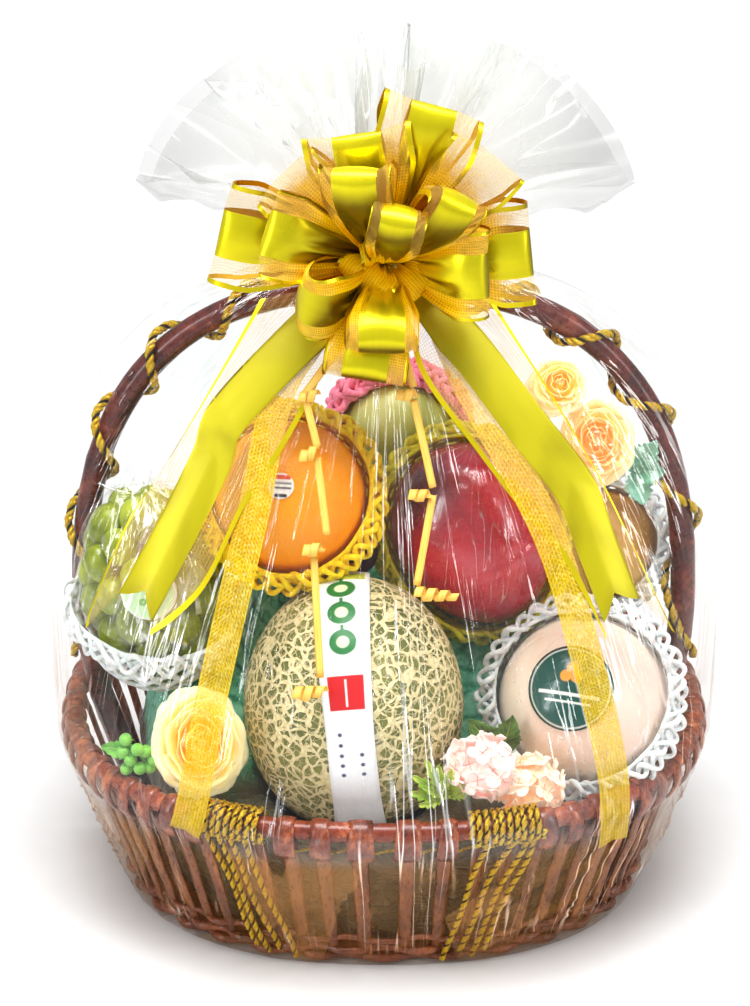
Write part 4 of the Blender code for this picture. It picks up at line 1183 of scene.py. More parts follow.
def rose(name, node, middle, radii, face, petals, mat):
    whole = new_body()
    face_to = Vector(face).normalized().to_track_quat("Z", "Y").to_matrix()
    for i in range(petals):
        layer = i / (petals - 1)
        rim_at = radians(-14 + 114 * layer ** 0.80 + chance.uniform(-5, 5))
        start = GOLDEN * i + chance.uniform(-0.2, 0.2)
        spread = min(1.7, 0.78 / max(0.2, sin(abs(rim_at)))) * chance.uniform(0.9, 1.15)
        size = 0.84 + 0.13 * layer ** 0.7 + chance.uniform(-0.04, 0.04)
        deep = 0.50 + 0.22 * layer
        waves = [chance.uniform(0, 6.28) for _ in range(3)]
        curl = radians(4 + 20 * layer * layer)

        def where(u, v):
            side = 2 * u - 1
            round_off = 1 - 0.30 * abs(side) ** 3
            polar = rim_at + radians(26) * (1 - v) * (1 - 0.4 * layer)
            polar += curl * max(0.0, v - 0.70) / 0.30 + 0.10 * side * side
            polar += (0.05 * sin(side * 5 + waves[0]) + 0.03 * sin(side * 11 + waves[1])) * v
            around = start + side * spread * (0.50 + 0.50 * v ** 0.5)
            reach = size * (deep + (1 - deep) * v * round_off)
            reach += 0.030 * sin(side * 7 + waves[2]) * v * v
            d = Vector((sin(polar) * cos(around), sin(polar) * sin(around), cos(polar)))
            return Vector(middle) + inside(face_to @ (d * reach), radii)

        part = grid(12, 9, where)
        lay_out(part, lambda loop, old: (layer, old[1]))
        join(whole, part)
    sepals = fruit_body((middle, [r * 0.56 for r in radii], (0, 0, 0)), lambda d: 1, 24, 16)
    sepals.loops.layers.uv.new("UVMap")
    lay_out(sepals, lambda loop, old: (0.0, 0.3))
    join(whole, sepals)
    piece = show(name, whole, mat, "rose_petal", node)
    piece.modifiers.new("Silk", "SOLIDIFY").thickness = 0.00035


apricot_silk = petal_finish("apricot_silk", tone(255, 192, 92), tone(255, 214, 136),
                            tone(255, 236, 186), tone(250, 200, 130))
cream_silk = petal_finish("cream_silk", tone(255, 196, 62), tone(255, 232, 148), tone(255, 247, 206),
                          tone(252, 228, 160))
rose("rose_by_grapes", "rose_front", (-0.119, -0.123, 0.149), (0.033, 0.029, 0.043), (0.1, -0.9, 0.35),
     34, cream_silk)
rose("rose_at_right", "rose_right", (0.137, -0.037, 0.322), (0.026, 0.020, 0.033), (-0.05, -0.9, 0.35),
     36, apricot_silk)
rose("rose_behind", "rose_top", (0.110, -0.036, 0.361), (0.021, 0.019, 0.020), (0.1, -0.8, 0.6), 24,
     cream_silk)

# ---------------------------------------------------------------- silk hydrangeas
# Two round heads of small four-petalled florets, printed from palest pink to peach and
# pushed on wire stems.


def hydrangea(name, node, middle, radii, florets, size, mat):
    whole = fruit_body((middle, [r * 0.80 for r in radii], (0, 0, 0)),
                       lambda d: 1 + 0.06 * noise.noise(d * 5), 32, 20)
    for i in range(florets):
        d = golden_way(i, florets)
        at = Vector(middle) + inside(d, radii, size * 0.35)
        out = (d + Vector([chance.uniform(-0.45, 0.45) for _ in range(3)])).normalized()
        at += d * chance.uniform(-0.0010, 0.0022)
        first = out.orthogonal().normalized()
        second = out.cross(first)
        spin = chance.uniform(0, 1.57)
        big = size * chance.uniform(0.88, 1.1)
        shade = chance.uniform(0, 1)
        for k in range(4):
            middle_turn = spin + k * pi / 2

            def where(u, v):
                side = 2 * u - 1
                half = 0.80 * sin(pi * (0.10 + 0.74 * v)) ** 0.8
                turn = middle_turn + side * half
                reach = big * (0.08 + 0.92 * v) * (1 - 0.10 * side * side)
                cup = big * (0.30 * v * v - 0.18 * v + 0.10 * side * side * v)
                return at + (first * cos(turn) + second * sin(turn)) * reach + out * cup

            part = grid(4, 4, where)
            lay_out(part, lambda loop, old: (shade, old[1]))
            join(whole, part)
    piece = show(name, whole, mat, "pink_petal", node)
    piece.modifiers.new("Silk", "SOLIDIFY").thickness = 0.0003


pink_silk = petal_finish("pink_silk", tone(252, 196, 186), tone(254, 222, 212), tone(255, 244, 238),
                         tone(250, 206, 194))
peach_silk = petal_finish("peach_silk", tone(254, 204, 166), tone(255, 224, 196), tone(255, 242, 224),
                          tone(252, 210, 178))
hydrangea("hydrangea_pink_head", "hydrangea_pink", (0.061, -0.146, 0.146), (0.0210, 0.018, 0.0200), 30,
          0.0104, pink_silk)
hydrangea("hydrangea_peach_head", "hydrangea_peach", (0.093, -0.1395, 0.127), (0.0230, 0.017, 0.0205),
          32, 0.0104, peach_silk)

# ---------------------------------------------------------------- leaves and berries
# Mint leaves by the rose, a lime sprig and broad dark leaves by the hydrangeas, and a
# sprig of green berries, all stamped from stiffened cloth on wire stems.

FACING = Vector((0.0, -0.906, 0.423))


def leaf_finish(name, light, dark, rib):
    made, tree, shader = finish_of(name, Roughness=0.5, Sheen_Weight=0.2, Subsurface_Weight=0.12,
                                   Subsurface_Scale=0.003)
    parts = split(tree, flat_place(tree))
    side = sums(tree, "ABSOLUTE", minus(tree, parts["X"], 0.5))
    slanted = minus(tree, times(tree, parts["Y"], 44.0), times(tree, side, 34.0))
    veins = fit(tree, sums(tree, "SINE", slanted), 0.80, 0.98)
    midrib = fit(tree, side, 0.015, 0.05, 1.0, 0.0)
    mottle = spots(tree, object_place(tree), 150.0, 3.0)
    colour = blend(tree, fit(tree, mottle, 0.35, 0.65), dark, light)
    lines = sums(tree, "MAXIMUM", midrib, times(tree, veins, 0.5))
    wear(tree, shader, Base_Color=blend(tree, lines, colour, rib))
    relief(tree, shader, lines, 0.0004)
    return made


def blade(whole, root, tip, normal, width, bend, teeth=0, notch=0.14):
    """One leaf from root to tip, folded a little along its midrib."""
    root, tip = Vector(root), Vector(tip)
    along = tip - root
    across = along.cross(Vector(normal)).normalized()
    up = across.cross(along).normalized()

    def where(u, v):
        side = 2 * u - 1
        half = width / 2 * (sin(pi * (0.05 + 0.93 * v)) ** 0.85)
        if teeth:
            half *= 1 + notch * ((v * teeth) % 1.0 - 0.5) * abs(side)
        rise = bend * sin(pi * v) - 0.18 * width * (1 - abs(side))
        wave = 0.07 * width * sin(9 * v + 2) * side
        return root + along * v + across * side * half + up * (rise + wave)

    join(whole, grid(8, 24, where))


def stem(whole, points, radius):
    join(whole, rod([Vector(p) for p in points], radius, 6))


def spray(name, node, whole, mat):
    piece = show(name, whole, mat, "green_leaf", node)
    piece.modifiers.new("Cloth", "SOLIDIFY").thickness = 0.0004


mint_cloth = leaf_finish("mint_leaf", tone(156, 208, 184), tone(120, 186, 158), tone(186, 224, 204))
lime_cloth = leaf_finish("lime_leaf", tone(206, 226, 92), tone(150, 196, 48), tone(226, 238, 150))
dark_cloth = leaf_finish("dark_leaf", tone(92, 138, 54), tone(50, 96, 32), tone(132, 168, 84))
berry_green = leaf_finish("berry_green", tone(128, 200, 76), tone(82, 164, 50), tone(150, 214, 100))

root = Vector((0.163, -0.030, 0.300))
leaves = new_body()
for x, y, z, wide in ((0.012, -0.008, 0.024, 0.017), (0.018, -0.010, 0.004, 0.018),
                      (0.006, -0.012, -0.018, 0.017), (-0.002, -0.006, 0.020, 0.013)):
    blade(leaves, root, root + Vector((x, y, z)), FACING, wide, 0.002, 7, 0.5)
twig = ((-0.016, 0.004, -0.004), (-0.006, 0.002, 0.0), (0.0, 0.0, 0.0))
stem(leaves, [root + Vector(p) for p in twig], 0.0009)
spray("mint_leaf_spray", "leaves_right", leaves, mint_cloth)

root = Vector((0.040, -0.152, 0.126))
leaves = new_body()
for x, y, z, wide in ((-0.014, -0.004, 0.030, 0.008), (-0.024, -0.004, 0.006, 0.008),
                      (0.002, -0.005, 0.024, 0.007), (-0.022, -0.003, 0.018, 0.0075),
                      (-0.006, -0.005, 0.027, 0.0065), (-0.018, -0.006, -0.002, 0.0065),
                      (0.012, -0.004, 0.016, 0.0065), (-0.016, -0.006, 0.012, 0.006),
                      (-0.004, -0.007, 0.016, 0.006), (0.014, -0.003, 0.006, 0.006)):
    run = Vector((x, y, z))
    blade(leaves, root + run * 0.16, root + run, FACING, wide, 0.0012, 4, 0.9)
    stem(leaves, [root, root + run * 0.18], 0.0006)
spray("lime_leaf_sprig", "leaf_sprig", leaves, lime_cloth)

root = Vector((0.076, -0.121, 0.140))
leaves = new_body()
for x, y, z, wide in ((-0.022, -0.002, 0.026, 0.018), (0.006, -0.001, 0.028, 0.018)):
    blade(leaves, root, root + Vector((x, y, z)), FACING, wide, 0.002, 9, 0.25)
spray("broad_leaf_pair", "broad_leaves", leaves, dark_cloth)

root = Vector((-0.155, -0.112, 0.128))
sprig = new_body()
stem(sprig, [root + Vector(p) for p in ((0.006, 0.004, -0.006), (0.001, -0.008, 0.004),
                                        (-0.004, -0.009, 0.014), (-0.012, -0.006, 0.020))], 0.0011)
blade(sprig, root + Vector((-0.004, -0.009, 0.013)), root + Vector((-0.028, -0.007, 0.017)), FACING,
      0.012, 0.002, 6, 0.3)
for x, y, z in ((-0.012, -0.007, 0.022), (0.001, -0.010, 0.015), (-0.009, -0.011, 0.009),
                (0.003, -0.010, 0.003), (-0.004, -0.013, 0.018), (-0.014, -0.009, 0.014),
                (0.006, -0.011, 0.009), (-0.003, -0.013, 0.004), (-0.012, -0.010, 0.002)):
    ball = new_body()
    bmesh.ops.create_uvsphere(ball, u_segments=16, v_segments=10, radius=0.0043)
    for vert in ball.verts:
        if vert.co.z > 0.0040:
            vert.co.z -= 0.0012
    at = root + Vector((x, y, z))
    bmesh.ops.translate(ball, verts=ball.verts, vec=at)
    join(sprig, ball)
    stem(sprig, [at, root + Vector((x * 0.5 - 0.001, y * 0.6, z - 0.002))], 0.0005)
show("green_berry_sprig", sprig, berry_green, "green_leaf", "berry_sprig")

# ---------------------------------------------------------------- clear film
# One square of clear film is folded up round the basket, gathered over the handle and
# tied, and its corners spread above the tie. It is creased towards the gather.

FILM_FLOOR = (0.1825, 0.157)
FILM_RIM = (0.2242, 0.1955)
GATHER = 0.4345
NECK_TOP = 0.452
NECK = 0.012
PLEATS = 19
FAN_REACH = 0.150


def film_half(z):
    """Half width and half depth of the wrapped film at a height."""
    if z <= RIM_Z:
        return between(FILM_FLOOR, FILM_RIM, z / RIM_Z)
    rise = min(1.0, max(0.0, (z - SPRING) / (GATHER - SPRING)))
    tent = min(1.0, (z - RIM_Z) / (GATHER - RIM_Z))
    return (NECK + (FILM_RIM[0] - NECK) * (1 - rise ** ARCH) ** (1 / ARCH),
            NECK + (FILM_RIM[1] - NECK) * (1 - tent) ** 0.7)


def film_power(z):
    return OVAL + (ARCH - OVAL) * min(1.0, max(0.0, (z - RIM_Z) / 0.04))


def ridge(turn, tall, fine, seed):
    """A crease that runs up the film: 0 in a valley and 1 on a sharp ridge."""
    spin = turn + 0.25 * noise.noise(Vector((cos(turn) * 3, sin(turn) * 3, tall * 5 + seed)))
    value = noise.noise(Vector((cos(spin) * fine, sin(spin) * fine, tall * 1.2 + seed)))
    return (1 - min(1.0, abs(value) * 3.2)) ** 2


def pleated(turn):
    """The radius of the gathered neck."""
    return NECK * (1 + 0.16 * cos(PLEATS * turn) + 0.05 * cos(31 * turn + 1))


def wrapped(u, v):
    turn = tau * u
    if v < 0.05:
        x, y = plan(film_half(0), OVAL, turn)
        share = 0.985 * v / 0.05
        return Vector((x * share, y * share, 0.0))
    if v < 0.30:
        z = 0.002 + (RIM_Z - 0.002) * (v - 0.05) / 0.25
        skewed = turn + 0.9 * (z / RIM_Z - 1) * sin(2 * turn + 1)
        puff = 0.0030 * ridge(skewed, z * 3, 9, 4.0) * sin(pi * min(1.0, z / RIM_Z * 0.9 + 0.05))
        half = [h + puff for h in film_half(z)]
        return Vector((*plan(half, film_power(z), turn), z))
    share = (v - 0.30) / 0.70
    z = RIM_Z + (NECK_TOP - RIM_Z) * (1 - (1 - share) ** 1.5)
    if z >= GATHER:
        return Vector((pleated(turn) * cos(turn), pleated(turn) * sin(turn), z))
    rise = (z - RIM_Z) / (GATHER - RIM_Z)
    half = film_half(z)
    room = 0.35 + 0.65 * abs(sin(turn))
    sink = (0.0008 + 0.0022 * rise) * ridge(turn, z, 12, 0.0) * room
    sink += 0.0016 * rise ** 3 * (1 + cos(PLEATS * turn)) * room
    half = [max(NECK * 0.9, h - min(sink, 0.25 * h)) for h in half]
    return Vector((*plan(half, film_power(z), turn), z))


def spread(u, v):
    """The fan: it stands nearly upright in front and leans outwards at the sides and behind."""
    turn = tau * u
    front = min(1.0, max(0.0, -sin(turn)) * 2.2)
    back = max(0.0, sin(turn))
    length = FAN_REACH * (1 + 0.05 * cos(3 * turn + 1.0) + 0.04 * cos(5 * turn + 2.2))
    length *= 1 - 0.13 * back - 0.14 * front
    far = length * v
    lean = radians(56 - 12 * back - 48 * front + 20 * (1 - 0.75 * front) * cos(6 * turn))
    lean += radians(10) * noise.noise(Vector((cos(turn) * 4, sin(turn) * 4, far * 12))) * v
    lean += (0.20 - 0.13 * front) * (ridge(turn, far, 8, 9.0) - 0.3) * (1 - 0.5 * v) * min(1.0, v * 5)
    out = (pleated(turn) if v < 0.2 else NECK) + far * sin(lean)
    return Vector((out * cos(turn), out * sin(turn), NECK_TOP + far * cos(lean)))


def panels(tree, vector, scale, low, high):
    """Film folded flat on itself: straight-edged patches, some doubled and some single."""
    cell = add(tree, "TexVoronoi", {"Vector": vector, "Scale": scale, "Randomness": 1.0})
    share = split(tree, cell.outputs["Color"])["X"]
    return fit(tree, share, 0.2, 0.8, low, high)


def doubled(tree):
    """1 where the film is folded double: over the wall, and a little way up each side."""
    parts = split(tree, own(tree))
    wall = fit(tree, parts["Z"], 0.092, 0.116, 1.0, 0.0)
    side = times(tree, fit(tree, sums(tree, "ABSOLUTE", parts["X"]), 0.160, 0.205, 0.0, 0.75),
                fit(tree, parts["Z"], 0.15, 0.29, 1.0, 0.0))
    return sums(tree, "MAXIMUM", wall, side)


def low_haze(tree):
    """Dull where the film is doubled, and clear where it is stretched over the fruit."""
    place = object_place(tree, (1.0, 1.0, 0.45))
    return times(tree, doubled(tree), panels(tree, place, 26.0, 0.02, 0.24))


def fan_haze(tree):
    return panels(tree, around_axis((0.0, 0.0, 0.4), 3.0)(tree), 3.2, -0.10, 0.16)


clear_wrap = clear_finish(
    "clear_wrap", around_axis((0.0, 0.0, 0.0), 0.26), 17.0, 0.022, (0.045, 0.05), 0.62,
    rough=0.07, haze_of=low_haze, depth=0.0040, painted_glint=0.45)
tree = clear_wrap.node_tree
# Where the film is doubled over the wall, its mirror colour is a tan painted reflection of the brown wall
# beneath.
painted_wall_tint = blend(tree, doubled(tree), tone(255, 255, 255), tone(216, 164, 106))
wear(tree, tree.nodes["Principled BSDF"], Base_Color=painted_wall_tint)
clear_fan = clear_finish(
    "clear_fan", around_axis((0.0, 0.0, 0.4), 0.8), 9.0, 0.018, (0.26, 0.05), 0.36,
    rough=0.16, haze_of=fan_haze, depth=0.0030, painted_glint=0.9, metal=0.0, seen_edge=0.12)
tree = clear_fan.node_tree
# The fan's haze is painted grey and greyer towards its sides: painted shade.
to_side = sums(tree, "ABSOLUTE", split(tree, own(tree))["X"])
fan_shade_grey = blend(tree, fit(tree, to_side, 0.060, FAN_REACH), tone(222, 225, 222), tone(138, 141, 138))
wear(tree, tree.nodes["Principled BSDF"], Base_Color=fan_shade_grey)
show("film_over_basket", outward(grid(288, 140, wrapped, closed=True)), clear_wrap, "film", "film_wrap")
show("film_fan", grid(360, 44, spread, closed=True), clear_fan, "film", "film_wrap")

# ---------------------------------------------------------------- pull bow
# Fourteen loops of ribbon, satin down the middle, sheer beside it and satin along each
# edge, pulled up on a cord and tied in front of the gather. Three small sheer loops fill
# the middle.

KNOT = Vector((0.0, -0.0300, 0.447))
SATIN = 0.45
EDGE = 0.90
RIBBON_HALF = 0.0335
MAIN_LOOPS = 14
LOOPS = [
    ((-0.102, -0.020, 0.024), (0, 0, 1), 0.030, 0.017),
    ((-0.072, -0.050, 0.034), (0, 0, 1), 0.028, 0.014),
    ((-0.0175, -0.035, 0.090), (1, 0, 0), 0.030, 0.017),
    ((0.030, -0.028, 0.106), (1, 0, -0.2), 0.028, 0.022),
    ((0.064, -0.035, 0.078), (1, 0, -0.8), 0.024, 0.019),
    ((-0.0185, -0.075, 0.078), (1, 0, -0.16), 0.027, 0.015),
    ((0.008, -0.085, 0.054), (1, 0, -0.22), 0.021, 0.015),
    ((0.044, -0.072, 0.060), (1, 0, -0.34), 0.023, 0.016),
    ((0.091, -0.020, 0.011), (0, 0, 1), 0.030, 0.018),
    ((0.062, -0.050, 0.006), (0, 0, 1), 0.028, 0.016),
    ((-0.049, -0.055, -0.012), (0.5, 0, 1), 0.026, 0.020),
    ((-0.002, -0.072, -0.033), (1, 0, 0), 0.028, 0.015),
    ((-0.013, -0.053, -0.061), (1, 0, 0), 0.028, 0.015),
    ((-0.062, -0.030, 0.064), (0.8, 0, 0.8), 0.022, 0.020),
    ((-0.014, -0.036, -0.004), (1, 0, -0.5), 0.018, 0.014),
    ((0.020, -0.034, -0.012), (1, 0, 0.6), 0.018, 0.014),
    ((0.004, -0.038, 0.022), (1, 0, 0.2), 0.018, 0.014),
]


def weave_group():
    """Warp and weft threads from a UV map in metres, with a height and a mask."""
    group, given, end = new_group(
        "ribbon_weave", {"Vector": "Vector", "Warp": "Float", "Weft": "Float"},
        {"Height": "Float", "Thread": "Float"})
    parts = split(group, given["Vector"])
    warp = sums(group, "SINE", times(group, parts["X"], given["Warp"]))
    weft = sums(group, "SINE", times(group, parts["Y"], given["Weft"]))
    wear(group, end, Height=plus(group, times(group, warp, 0.3), times(group, weft, 0.3)),
         Thread=sums(group, "MAXIMUM", fit(group, warp, 0.1, 0.7), fit(group, weft, 0.1, 0.7)))
    return group


ribbon_weave = weave_group()


def woven(tree, warp, weft):
    node = add(tree, "Group", node_tree=ribbon_weave)
    wear(tree, node, Vector=flat_place(tree))
    node.inputs["Warp"].default_value = warp
    node.inputs["Weft"].default_value = weft
    return node.outputs


def satin_finish(name, front_shaded, front_light, back, rough=0.30, metal=0.80, uneven=0.25):
    made, tree, shader = finish_of(name, Metallic=metal, Specular_IOR_Level=0.7)
    uv = flat_place(tree)
    stretch = stretched(tree, uv, (260.0, 6.0, 1.0))
    streak = spots(tree, stretch, 1.0, 1.0)
    # The satin is painted lighter where its normal faces a fixed lamp direction, up, forward and a little
    # left, and darker where it turns away: painted light and shade, varied by noise streaks and broad
    # patches.
    facing = vectors(tree, "DOT_PRODUCT", own(tree, "Normal"), (-0.25, -0.50, 0.83), "Value")
    painted_light = fit(tree, facing, -0.15, 0.80, -0.08, 0.96)
    painted_light = plus(tree, painted_light, times(tree, minus(tree, streak, 0.5), 0.12))
    broad = spots(tree, stretched(tree, uv, (20.0, 17.0, 1.0)), 1.0, 1.0)
    painted_light = plus(tree, painted_light, times(tree, minus(tree, broad, 0.5), uneven))
    front = blend(tree, painted_light, front_shaded, front_light)
    behind = add(tree, "NewGeometry").outputs["Backfacing"]
    wear(tree, shader, Base_Color=blend(tree, behind, front, back),
         Roughness=fit(tree, broad, 0.3, 0.7, rough - 0.02, rough + 0.04))
    return made


def sheer_finish(name, thin, thick, dense_of, low, high, glitter=0.0, glow=0.0):
    """Organza: see-through between its threads, and deeper where it is gathered; glow makes it shine in
    its own colour, which is painted light.
    """
    made, tree, shader = finish_of(name, Roughness=0.50, Specular_IOR_Level=0.2, Emission_Strength=glow)
    threads = woven(tree, 3100.0, 3100.0)
    dense = dense_of(tree)
    colour = blend(tree, dense, thin, thick)
    gaps = times(tree, fit(tree, threads["Thread"], 0.0, 1.0, 0.45, 0.0), dense)
    colour = blend(tree, gaps, colour, tone(176, 124, 0))
    if glitter:
        sparkle = add(tree, "TexVoronoi", {"Vector": flat_place(tree), "Scale": 1500.0})
        shine = fit(tree, split(tree, sparkle.outputs["Color"])["X"], 0.70, 0.85)
        colour = blend(tree, times(tree, shine, glitter), colour, tone(255, 240, 150))
    # Emission in the organza's own colour: a painted glow that lightens its shade.
    wear(tree, shader, Base_Color=colour, Emission_Color=colour)
    alpha = fit(tree, dense, 0.0, 1.0, low, high)
    alpha = plus(tree, alpha, times(tree, threads["Thread"], 0.18))
    wear(tree, shader, Alpha=sums(tree, "MINIMUM", alpha, 0.97))
    relief(tree, shader, threads["Height"], 0.0002)
    return made


def near_knot(tree):
    """1 close to the knot and 0 a hand's width away, with uneven gathers."""
    away = vectors(tree, "DISTANCE", own(tree), KNOT, "Value")
    uneven = times(tree, minus(tree, spots(tree, object_place(tree), 60.0, 2.0), 0.5), 0.03)
    return fit(tree, plus(tree, away, uneven), 0.060, 0.094, 1.0, 0.0)


satin = satin_finish("yellow_satin", tone(128, 112, 4), tone(252, 240, 40), tone(214, 160, 8), 0.28)
satin_edge = satin_finish("satin_edge", tone(150, 128, 6), tone(250, 230, 40), tone(224, 176, 20), 0.28)
sheer = sheer_finish("sheer_ribbon", tone(252, 214, 110), tone(246, 198, 0), near_knot, 0.10, 0.92,
                     glow=0.07)

STRIPES = ([-1.0, -0.95] + [-EDGE + (EDGE - SATIN) * k / 10 for k in range(10)]
           + [-SATIN + 2 * SATIN * k / 16 for k in range(16)]
           + [SATIN + (EDGE - SATIN) * k / 10 for k in range(10)] + [EDGE, 0.95, 1.0])


def striped_ribbon(rows, where, long, half):
    """A ribbon of satin edge, sheer, satin, sheer and satin edge; where(s, v) with s from -1 to 1."""
    columns = len(STRIPES) - 1
    bm = grid(columns, rows, lambda u, v: where(STRIPES[round(u * columns)], v))
    uv = bm.loops.layers.uv.active
    for face in bm.faces:
        stripe = int(columns * sum(loop[uv].uv[0] for loop in face.loops) / len(face.loops))
        s = abs(STRIPES[stripe] + STRIPES[stripe + 1]) / 2
        face.material_index = (s > SATIN) + (s > EDGE)
        for loop in face.loops:
            at = STRIPES[min(columns, round(loop[uv].uv[0] * columns))]
            loop[uv].uv = (at * half, loop[uv].uv[1] * long)
    return bm


def face_away(bm, middle):
    """Turns an open sheet's faces away from a point."""
    outward(bm)
    bm.normal_update()
    total = sum((f.calc_center_median() - middle).dot(f.normal) * f.calc_area() for f in bm.faces)
    if total < 0:
        bmesh.ops.reverse_faces(bm, faces=bm.faces)
    return bm


for i, (tip, across, width, gape) in enumerate(LOOPS):
    tip = Vector(tip)
    along = tip.normalized()
    length = tip.length
    across = Vector(across)
    across = (across - along * across.dot(along)).normalized()
    out = along.cross(across)
    half_wide = RIBBON_HALF * width / 0.030

    def where(s, v):
        swell = (1 - cos(tau * v)) / 2
        reach = 0.0125 + (length - 0.0125) * swell ** 0.86
        half = half_wide * min(1.0, reach / length * 1.25) ** 0.85
        part = 0.0012 * cos(pi * v)
        bulge = gape / 2 * sin(tau * v) * swell ** 0.35 * 1.1
        loose = max(0.0, abs(s) - SATIN)
        front = min(1.0, max(0.0, -tip.y - 0.035) / 0.03)
        bulge *= 1.0 + 0.80 * front - (0.9 * front - 0.3) * loose
        half *= 1 - 0.50 * front * loose
        bulge += 0.0026 * sin(tau * v) * swell * max(0.0, 1 - (s / SATIN) ** 2)
        drift = loose * 0.010 * sin(5.2 * v + i * 2.1 + (1.5 if s > 0 else 0)) * swell
        tight = 1 - half / half_wide
        pleat = sin(s * 15 + i) + 0.5 * sin(s * 27 + 2 * i)
        lift = part + bulge + drift + (0.0034 * tight + 0.0030 * front * loose) * pleat
        return KNOT + along * (reach + 0.25 * drift) + out * lift + across * s * half

    bm = face_away(striped_ribbon(56, where, 2.25 * length, half_wide), KNOT + along * length * 0.6)
    loops_of = [f"bow_loop_{i + 1:02d}"] if i < MAIN_LOOPS else []
    stripe = sheer if i in (4, 13, 14, 15, 16) else satin
    piece = show(f"ribbon_loop_{i + 1:02d}", bm, [stripe, sheer, satin_edge], "satin", *loops_of)

bm = fruit_body((tuple(KNOT), (0.0100, 0.0085, 0.0090), (0, 0, 0)),
                lambda d: 1 - 0.05 * (1 + sin(atan2(d.x, -d.y) * 3 + 14 * d.z)) / 2, 64, 40)
show("knot_of_bow", bm, satin_edge, "satin", "bow_knot")

TIE_Z = 0.4445


def tie_band(u, v):
    turn = tau * u
    swell = 0.0166 + 0.0026 * sin(pi * v) + 0.0005 * sin(23 * turn + 3 * v) + 0.0004 * sin(v * 40)
    z = TIE_Z + 0.00896 * (v - 0.5) + 0.0006 * sin(turn * 2)
    return Vector((swell * cos(turn), swell * sin(turn), z))


tie = face_away(grid(96, 14, tie_band, closed=True), UP * TIE_Z)
show("tie_round_gather", tie, satin_edge, "satin", "neck_tie")

# ---------------------------------------------------------------- ribbon tails
# The bow's two tails lie on the film's front: the same striped ribbon, cut to a
# swallowtail, with its satin edges running on a little beyond.


def smooth_path(stops, share):
    """A point on the smooth curve through the stops."""
    last = len(stops) - 1
    at = min(share * last, last - 1e-9)
    i = int(at)
    t = at - i
    p = [Vector(stops[min(max(i + k, 0), last)]) for k in (-1, 0, 1, 2)]
    return (p[1] * 2 + (p[2] - p[0]) * t + (p[0] * 2 - p[1] * 5 + p[2] * 4 - p[3]) * t * t
            + (p[1] * 3 - p[0] - p[2] * 3 + p[3]) * t * t * t) / 2


def film_front(x, z, lift=0.0):
    """The point of the film's front at a width and height, moved forward by lift."""
    half = film_half(z)
    power = film_power(z)
    depth = max(0.0, 1 - abs(x / half[0]) ** power) ** (1 / power)
    return Vector((x, -half[1] * depth - lift, z))


def path_length(stops):
    """The length of a ribbon that hangs on the film's front along the stops."""
    points = [film_front(*smooth_path(stops, k / 40)) for k in range(41)]
    return sum((b - a).length for a, b in zip(points, points[1:]))


def path_place(stops, share):
    """Width, height, distance off the film and the direction across, at a share of a path."""
    ahead = smooth_path(stops, min(1.0, share + 0.01)) - smooth_path(stops, max(0.0, share - 0.01))
    return *smooth_path(stops, share), Vector((ahead.y, -ahead.x)).normalized()


INSIDE = Vector((0, 0.05, 0.2))
TAILS = [
    ("tail_left", -1,
     [(-0.017, 0.427, 0.008), (-0.052, 0.402, 0.004), (-0.098, 0.359, 0.0035), (-0.109, 0.333, 0.0035),
      (-0.134, 0.287, 0.0035), (-0.157, 0.246, 0.0035)],
     [(-0.075, 0.420), (-0.103, 0.380), (-0.134, 0.334), (-0.161, 0.293), (-0.185, 0.239),
      (-0.189, 0.225)],
     [(-0.020, 0.420), (-0.034, 0.396), (-0.064, 0.347), (-0.089, 0.313), (-0.115, 0.265),
      (-0.147, 0.234)]),
    ("tail_right", 1,
     [(0.017, 0.427, 0.008), (0.053, 0.396, 0.004), (0.089, 0.354, 0.0035), (0.119, 0.318, 0.0035),
      (0.133, 0.285, 0.0035), (0.149, 0.246, 0.0035)],
     [(0.067, 0.418), (0.100, 0.375), (0.132, 0.326), (0.152, 0.289), (0.168, 0.256), (0.183, 0.224)],
     [(0.018, 0.410), (0.027, 0.383), (0.059, 0.344), (0.087, 0.310), (0.116, 0.279), (0.139, 0.233)]),
]
tail_satin = satin_finish("tail_satin", tone(108, 92, 2), tone(190, 180, 8), tone(200, 150, 8), 0.40,
                          metal=0.40, uneven=2.2)
tail_sheer = sheer_finish("sheer_tail", tone(252, 222, 172), tone(236, 184, 60),
                          lambda tree: spots(tree, object_place(tree), 26.0, 2.0), 0.04, 0.22)
for node, side, stops, outer, inner in TAILS:

    def where(s, v):
        x, z, lift, cross = path_place(stops, v * (1 - 0.075 * max(0.0, 1 - abs(s) / SATIN)))
        cross = cross if cross.x * side > 0 else -cross
        wide = 0.0126 * min(1.0, 0.4 + v * 4)
        outwards = s * side
        if abs(outwards) <= SATIN + 1e-4:
            shift = outwards / SATIN * wide
            x, z = x + cross.x * shift, z + cross.y * shift
            cup = 0.0014 * (1 - (outwards / SATIN) ** 2) + 0.0005 * sin(v * 17 + 2)
            cup += 0.0026 * sin(v * 7 + 1 + 0.5 * outwards)
            return film_front(x, z, max(0.0028, lift + cup))
        share = (abs(outwards) - SATIN) / (EDGE - SATIN)
        edge = smooth_path([(*p, 0.0) for p in (outer if outwards > 0 else inner)], v)
        start = Vector((x, z, 0)) + Vector((cross.x, cross.y, 0)) * copysign(wide, outwards)
        if share > 1.0:
            spot = edge + (edge - start).normalized() * 0.0036 * min(1.0, (share - 1.0) / 0.2222)
        else:
            spot = start.lerp(edge, share)
        return film_front(spot.x, spot.y, 0.0026 + 0.0008 * sin(v * 9 + s))

    bm = face_away(striped_ribbon(72, where, path_length(stops), RIBBON_HALF), INSIDE)
    piece = show(f"ribbon_{node}", bm, [tail_satin, tail_sheer, satin_edge], "satin", node)
    path_length(stops)

# ---------------------------------------------------------------- glitter bands
# Two bands of gold glitter organza hang from behind the bow down to the rim, each cut
# to a swallowtail. The weave is open enough to see the fruit through.

